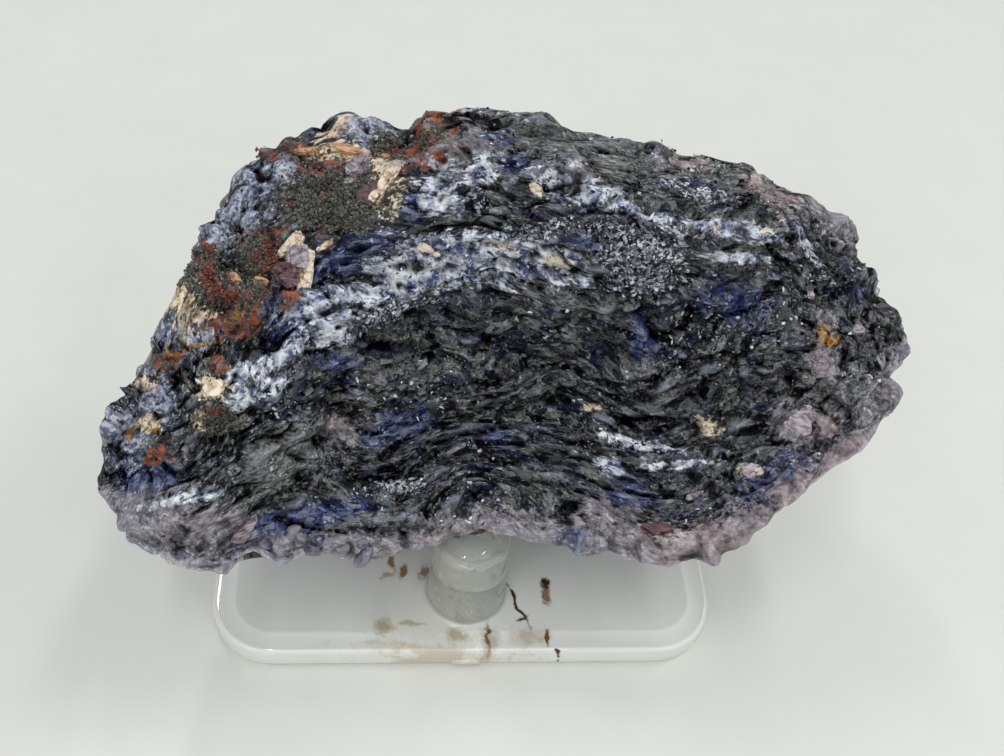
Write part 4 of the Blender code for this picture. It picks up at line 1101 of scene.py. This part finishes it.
for kind, (dark, light, roughness) in FLAKE_LOOKS.items():
    chosen = [(k, flake[1:]) for k, flake in enumerate(FLAKES) if flake[0] == kind]
    stacks = [sheet_stack(*flake, seed=300 + 7 * k) for k, flake in chosen]
    groups = [turned_out(points, closed_grid_faces(2 * flake[4], FLAKE_COLUMNS))
              for points, (_, flake) in zip(stacks, chosen)]
    starts = np.concatenate([[0], np.cumsum([len(points) for points in stacks])])
    faces = [group + start for pair, start in zip(groups, starts) for group in pair]
    material, tree, shader = fresh_material(kind + " flakes", Roughness=roughness, IOR=1.56)
    where = add(tree, "TexCoord", output="Object")
    layer = add(tree, "Mapping", {"Vector": where, "Scale": (1.0, 1.0, 4.0)})
    cloud = add(tree, "TexNoise", {"Vector": layer, "Scale": 1.0 / (1.2 * MM), "Detail": 4.0})
    share = add(tree, "MapRange", {"Value": cloud, "From Min": 0.36, "From Max": 0.58})
    tone = add(tree, "Mix", {"Factor": share, "A": linear(dark), "B": linear(light)}, data_type="RGBA")
    tree.links.new(tone, shader.inputs["Base Color"])
    bump = add(tree, "Bump", {"Strength": 0.4, "Distance": 0.0002, "Height": cloud})
    tree.links.new(bump, shader.inputs["Normal"])
    mesh_piece(kind + "_flakes", np.vstack(stacks), faces, material, sharp_degrees=30.0)

# %% [markdown]
# ## The clear stand
#
# The stand is one moulding of clear plastic: a plate with rounded corners, and three slightly tapered pegs
# with a fillet at the foot. A boolean union would join plain solids, but it leaves slivers that show in
# clear plastic. So the plate's edge is a profile carried round a rounded rectangle, each peg is a profile
# turned about its axis, and only the flat top between them is filled.

# %% Rings of the plate and the pegs
import bmesh

PLATE_WIDTH, PLATE_DEPTH, PLATE_THICKNESS, PLATE_CORNER, PLATE_EDGE = 80.0, 60.0, 4.0, 10.0, 0.8
PLATE_FLAT_BORDER = 1.0
PEG_TOP_RADIUS, PEG_FOOT_RADIUS, PEG_RIM, PEG_FILLET, PEG_FLAT_BORDER = 5.9, 6.2, 0.8, 0.9, 0.4
CORNER_STEPS, PEG_COLUMNS, ARC_STEPS = 14, 72, 6
peg_top = stand_high[2]


def quarter(centre, radius, start, steps):
    """Points on a quarter circle from an angle in degrees, anticlockwise."""
    angle = np.radians(start + 90.0 * np.arange(steps + 1) / steps)
    return np.stack([centre[0] + radius * np.cos(angle), centre[1] + radius * np.sin(angle)], -1)


def rounded_ring(inset):
    """The plate's outline, moved inwards by inset: four quarter circles joined by straight sides."""
    x, y = PLATE_WIDTH / 2.0 - PLATE_CORNER, PLATE_DEPTH / 2.0 - PLATE_CORNER
    corners = (((x, y), 0.0), ((-x, y), 90.0), ((-x, -y), 180.0), ((x, -y), 270.0))
    return np.vstack([quarter(centre, PLATE_CORNER - inset, start, CORNER_STEPS)
                      for centre, start in corners])


low_edge = quarter((-PLATE_EDGE, PLATE_EDGE), PLATE_EDGE, 270.0, ARC_STEPS)
high_edge = quarter((-PLATE_EDGE, PLATE_THICKNESS - PLATE_EDGE), PLATE_EDGE, 0.0, ARC_STEPS)
inmost = -PLATE_EDGE - PLATE_FLAT_BORDER
profile = np.vstack([(inmost, 0.0), low_edge, high_edge, (inmost, PLATE_THICKNESS)])
plate = np.stack([np.column_stack([rounded_ring(-inwards), np.full(4 * CORNER_STEPS + 4, height)])
                  for inwards, height in profile])

foot = quarter((PEG_FOOT_RADIUS + PEG_FILLET, PLATE_THICKNESS + PEG_FILLET), PEG_FILLET, 180.0,
               ARC_STEPS)[::-1]
rim = quarter((PEG_TOP_RADIUS - PEG_RIM, peg_top - PEG_RIM), PEG_RIM, 0.0, ARC_STEPS)
ring_mark = np.array(((4.3, peg_top), (4.15, peg_top - 0.12), (3.95, peg_top - 0.12), (3.8, peg_top),
                      (2.0, peg_top)))
outmost = PEG_FOOT_RADIUS + PEG_FILLET + PEG_FLAT_BORDER
peg_profile = np.vstack([(outmost, PLATE_THICKNESS), foot, rim, ring_mark])
turn = 2.0 * math.pi * np.arange(PEG_COLUMNS) / PEG_COLUMNS
radius, height = peg_profile[:, :1], peg_profile[:, 1:]
pegs = [np.stack([x + radius * np.cos(turn), y + radius * np.sin(turn), height + 0.0 * turn], -1)
        for x, y in PEG_CENTRES]
print("plate of", len(profile), "rings and pegs of", len(peg_profile))

# %% Stand mesh
stand_points = [plate.reshape(-1, 3)]
stand_points += [np.vstack([peg.reshape(-1, 3), peg[-1].mean(axis=0)]) for peg in pegs]
starts = np.cumsum([0] + [len(points) for points in stand_points])
stand_faces = []
for grid, start in zip([plate] + pegs, starts):
    stand_faces += (closed_grid_faces(*grid.shape[:2])[0] + start).tolist()
for start, end in zip(starts[1:], starts[2:]):
    ring = start + (len(peg_profile) - 1) * PEG_COLUMNS + np.arange(PEG_COLUMNS)
    stand_faces += np.stack([ring, np.roll(ring, -1), np.full(PEG_COLUMNS, end - 1)], -1).tolist()
mesh = bpy.data.meshes.new("stand_shell")
mesh.from_pydata((np.vstack(stand_points) * MM).tolist(), [], stand_faces)
shell = bmesh.new()
shell.from_mesh(mesh)
half_up = 0.5 * PLATE_THICKNESS * MM
flat_top = [edge for edge in shell.edges if edge.is_boundary and edge.verts[0].co.z > half_up]
bmesh.ops.triangle_fill(shell, use_beauty=True, use_dissolve=False, edges=flat_top, normal=(0.0, 0.0, 1.0))
bmesh.ops.holes_fill(shell, edges=[edge for edge in shell.edges if edge.is_boundary], sides=0)
bmesh.ops.recalc_face_normals(shell, faces=shell.faces)
bmesh.ops.triangulate(shell, faces=[face for face in shell.faces if len(face.verts) > 4])
print("open edges of the stand:", sum(edge.is_boundary for edge in shell.edges))
shell.to_mesh(mesh)
shell.free()

# %% [markdown]
# ## Dirt on the plate
#
# Old stands are grubby. Brown crumbs and tan stains lie on the front of this one, and each is written by
# the pixel where it shows. A ray from the camera through that pixel meets the plate's top at the stain's
# middle, and a noise bends and frays its outline.

# %% Stains
# pixel, half width and half height in pixels, slant in degrees, colour, strength
STAINS = (((415, 622), 46, 24.0, 0.0, "#aca27c", 0.22), ((456, 654), 90, 7.0, -2.0, "#a58a5c", 0.40),
          ((393, 564), 3, 10.0, 15.0, "#8f7346", 0.75), ((403, 572), 3, 9.0, -25.0, "#8f7346", 0.75),
          ((389, 578), 6, 2.5, 30.0, "#99855a", 0.6), ((423, 573), 5, 8.0, 0.0, "#85683a", 0.65),
          ((382, 627), 9, 8.0, 10.0, "#9b8a5c", 0.55), ((411, 622), 12, 2.5, 0.0, "#9b8a5c", 0.5),
          ((517, 603), 23, 1.6, -62.0, "#3d2b17", 1.0), ((521, 617), 7, 1.3, 40.0, "#5a4226", 0.8),
          ((545, 592), 4, 11.0, 0.0, "#7a5a34", 0.7), ((545, 583), 4, 5.0, 0.0, "#3d2b17", 0.9),
          ((488, 638), 2, 11.0, 0.0, "#452a14", 1.0), ((489, 641), 8, 12.0, 0.0, "#8a683a", 0.45),
          ((530, 637), 17, 12.0, 0.0, "#9c8a5c", 0.45), ((547, 638), 1.5, 11.0, 0.0, "#6e5430", 0.9),
          ((457, 634), 10, 9.0, 0.0, "#9a8a5c", 0.55), ((476, 637), 2.5, 9.0, 0.0, "#e1e2da", 0.6),
          ((558, 650), 2, 2.0, 0.0, "#3c3a36", 0.9))
plate_turn = math.atan2(view_right[1], view_right[0])


def on_plate(x, y):
    """The point of the plate's top that a pixel shows, in mm, and a pixel's size there in mm."""
    across, down = (x - IMAGE_WIDTH / 2.0) / FOCAL_PIXELS, (y - IMAGE_HEIGHT / 2.0) / FOCAL_PIXELS
    ray = ahead + across * view_right - down * view_up
    reach = (PLATE_THICKNESS - EYE_IN_MM[2]) / ray[2]
    return np.array(EYE_IN_MM) + reach * ray, reach / FOCAL_PIXELS


print("the first stain is at", on_plate(*STAINS[0][0])[0].round(1), "mm")

# %% [markdown]
# ## The clear plastic
#
# Thick clear plastic on a pale board looks like pale glass with a bright rim, since its edge gathers light.
# Rays that really pass through the plate are slow and noisy, so part of them is replaced by a pale surface:
# more in the plate, less in the pegs. The rim gets still more of it, as a painted glow, and the dirt lets
# nothing through.

# %% The pale surface in place of light, and the painted glow of the rim
EDGE_GLOW, GLOW_RISE, GLOW_FADE, GLOW_SHARE = 3.8, 0.5, 3.0, 0.20
plastic, tree, shader = fresh_material("clear polystyrene, moulded", IOR=1.55, Transmission_Weight=1.0,
                                       Roughness=0.03)
where = add(tree, "TexCoord", output="Object")
haze = add(tree, "TexNoise", {"Vector": where, "Scale": 1.0 / (9.0 * MM), "Detail": 4.0})
tone = add(tree, "Mix", {"Factor": haze, "A": linear("#fbfdf8"), "B": linear("#f6f9f2")}, data_type="RGBA")
inner = tuple(side * MM for side in (0.5 * PLATE_WIDTH - PLATE_CORNER, 0.5 * PLATE_DEPTH - PLATE_CORNER, 1.0))
beyond = add(tree, "VectorMath", {0: where}, operation="ABSOLUTE")
beyond = add(tree, "VectorMath", {0: beyond, 1: inner}, operation="SUBTRACT")
beyond = add(tree, "VectorMath", {0: beyond, 1: (0.0, 0.0, 0.0)}, operation="MAXIMUM")
beyond = add(tree, "VectorMath", {0: beyond, 1: (1.0, 1.0, 0.0)}, operation="MULTIPLY")
beyond = add(tree, "VectorMath", {0: beyond}, output="Value", operation="LENGTH")
# Painted light: a band inside the rim turns to pale surface, standing in for the light that the edge gathers.
start = (PLATE_CORNER - EDGE_GLOW) * MM
glow = add(tree, "MapRange", {"Value": beyond, "From Min": start, "From Max": start + GLOW_RISE * MM,
                              "To Max": GLOW_SHARE})
fade = add(tree, "MapRange", {"Value": beyond, "From Min": start, "From Max": start + GLOW_FADE * MM,
                              "To Min": 1.0, "To Max": 0.0})
rim_glow_and_dirt = add(tree, "Math", {0: glow, 1: fade}, operation="MULTIPLY")

# %% Stains over the haze
FRAY_SIZE, FRAY_HEIGHT = 1.4, 2.4
BEND_SIZE, BEND_HEIGHT = 4.0, 3.5
STAIN_EDGE, STAIN_FULL, STAIN_GAIN, STAIN_OPACITY = 1.5, 0.6, 1.3, 0.5
ragged_by = add(tree, "TexNoise", {"Vector": where, "Scale": 1.0 / (FRAY_SIZE * MM), "Detail": 5.0,
                                   "Roughness": 0.7})
ragged_by = add(tree, "Math", {0: ragged_by, 1: FRAY_HEIGHT, 2: -0.5 * FRAY_HEIGHT}, operation="MULTIPLY_ADD")
bent = add(tree, "TexNoise", {"Vector": where, "Scale": 1.0 / (BEND_SIZE * MM), "Detail": 3.0},
           output="Color")
bent = add(tree, "VectorMath", {0: bent, 1: (0.5, 0.5, 0.5)}, operation="SUBTRACT")
bent = add(tree, "VectorMath", {0: bent, "Scale": BEND_HEIGHT * MM}, operation="SCALE")
bent = add(tree, "VectorMath", {0: where, 1: bent}, operation="ADD")
for (x, y), half_width, half_height, slant, colour, strength in STAINS:
    middle, size = on_plate(x, y)
    spot = add(tree, "Mapping", {"Vector": bent, "Location": tuple(middle * MM),
                                 "Rotation": (0.0, 0.0, math.radians(slant) + plate_turn),
                                 "Scale": (half_width * size * MM, half_height * size * MM, 0.1)},
               vector_type="TEXTURE")
    reach = add(tree, "VectorMath", {0: spot}, output="Value", operation="LENGTH")
    reach = add(tree, "Math", {0: ragged_by, 1: reach}, operation="ADD")
    shown = add(tree, "MapRange", {"Value": reach, "From Min": STAIN_EDGE, "From Max": STAIN_FULL,
                                   "To Min": 0.0, "To Max": min(1.0, STAIN_GAIN * strength)})
    tone = add(tree, "Mix", {"Factor": shown, "A": tone, "B": linear(colour)}, data_type="RGBA")
    opaque = add(tree, "Math", {0: shown, 1: STAIN_OPACITY}, operation="MULTIPLY")
    rim_glow_and_dirt = add(tree, "Math", {0: rim_glow_and_dirt, 1: opaque}, operation="MAXIMUM")
tree.links.new(tone, shader.inputs["Base Color"])
print(len(STAINS), "stains")

# %% Clearness and gloss by height
UNDERSIDE_ROUGH = 0.55
CLEAR_PLATE, CLEAR_PEG = 0.14, 0.79
height = add(tree, "SeparateXYZ", {0: where}).node.outputs["Z"]
# Painted light: where the plate lets little through, a pale surface stands in for the light that would pass
# it; the pegs stay clearer.
clear = add(tree, "MapRange", {"Value": height, "From Min": 3.9 * MM, "From Max": 4.6 * MM,
                               "To Min": CLEAR_PLATE, "To Max": CLEAR_PEG})
clear = add(tree, "Math", {0: clear, 1: rim_glow_and_dirt}, operation="SUBTRACT", use_clamp=True)
tree.links.new(clear, shader.inputs["Transmission Weight"])
underside = add(tree, "MapRange", {"Value": height, "From Min": 0.9 * MM, "From Max": 0.1 * MM,
                                   "To Min": 0.0, "To Max": UNDERSIDE_ROUGH})
scuffs = add(tree, "MapRange", {"Value": haze, "From Min": 0.45, "From Max": 0.75, "To Min": 0.02,
                                "To Max": 0.10})
rough = add(tree, "Math", {0: scuffs, 1: underside}, operation="ADD")
tree.links.new(rough, shader.inputs["Roughness"])
print(len(tree.nodes), "nodes in the plastic")

# %% The stand as a piece
STAND_SHARP_DEGREES = 40.0
mesh.materials.append(plastic)
mesh.shade_smooth()
mesh.set_sharp_from_angle(angle=math.radians(STAND_SHARP_DEGREES))
stand = bpy.data.objects.new("clear_stand", mesh)
bpy.context.scene.collection.objects.link(stand)
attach(stand, "root")
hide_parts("stand")
print("clear_stand", len(mesh.polygons), "faces")

# %% [markdown]
# ## The gate's nub
#
# Where the plastic was let into the mould a small nub is left on the front edge. It is snapped off by hand,
# so its ends are soft. A half round section carried along the edge gives it.

# %% Gate nub
GATE_X, GATE_LENGTH, GATE_DEPTH, GATE_BOTTOM, GATE_HEIGHT = -0.2, 5.0, 0.5, 0.3, 1.2
GATE_ROWS, GATE_COLUMNS, GATE_SINK, GATE_SHARP_DEGREES = 12, 16, 0.1, 50.0
run = np.linspace(-1.0, 1.0, GATE_ROWS)[:, None]
turn = 2.0 * math.pi * np.arange(GATE_COLUMNS)[None] / GATE_COLUMNS
fullness = (1.0 - 0.75 * run ** 8) * (1.0 + 0.05 * np.sin(9.0 * run))
nub = np.stack([GATE_X + 0.5 * GATE_LENGTH * run + 0.0 * turn,
                -0.5 * PLATE_DEPTH + GATE_SINK - (GATE_DEPTH + GATE_SINK) * fullness * np.cos(turn),
                GATE_BOTTOM + 0.5 * GATE_HEIGHT * (1.0 + fullness * np.sin(turn))], -1)
nub_points = with_tips(nub)
nub_faces = turned_out(nub_points, closed_grid_faces(GATE_ROWS, GATE_COLUMNS))
mesh_piece("gate_nub", nub_points, nub_faces, plastic, GATE_SHARP_DEGREES, slot="clear_plastic")
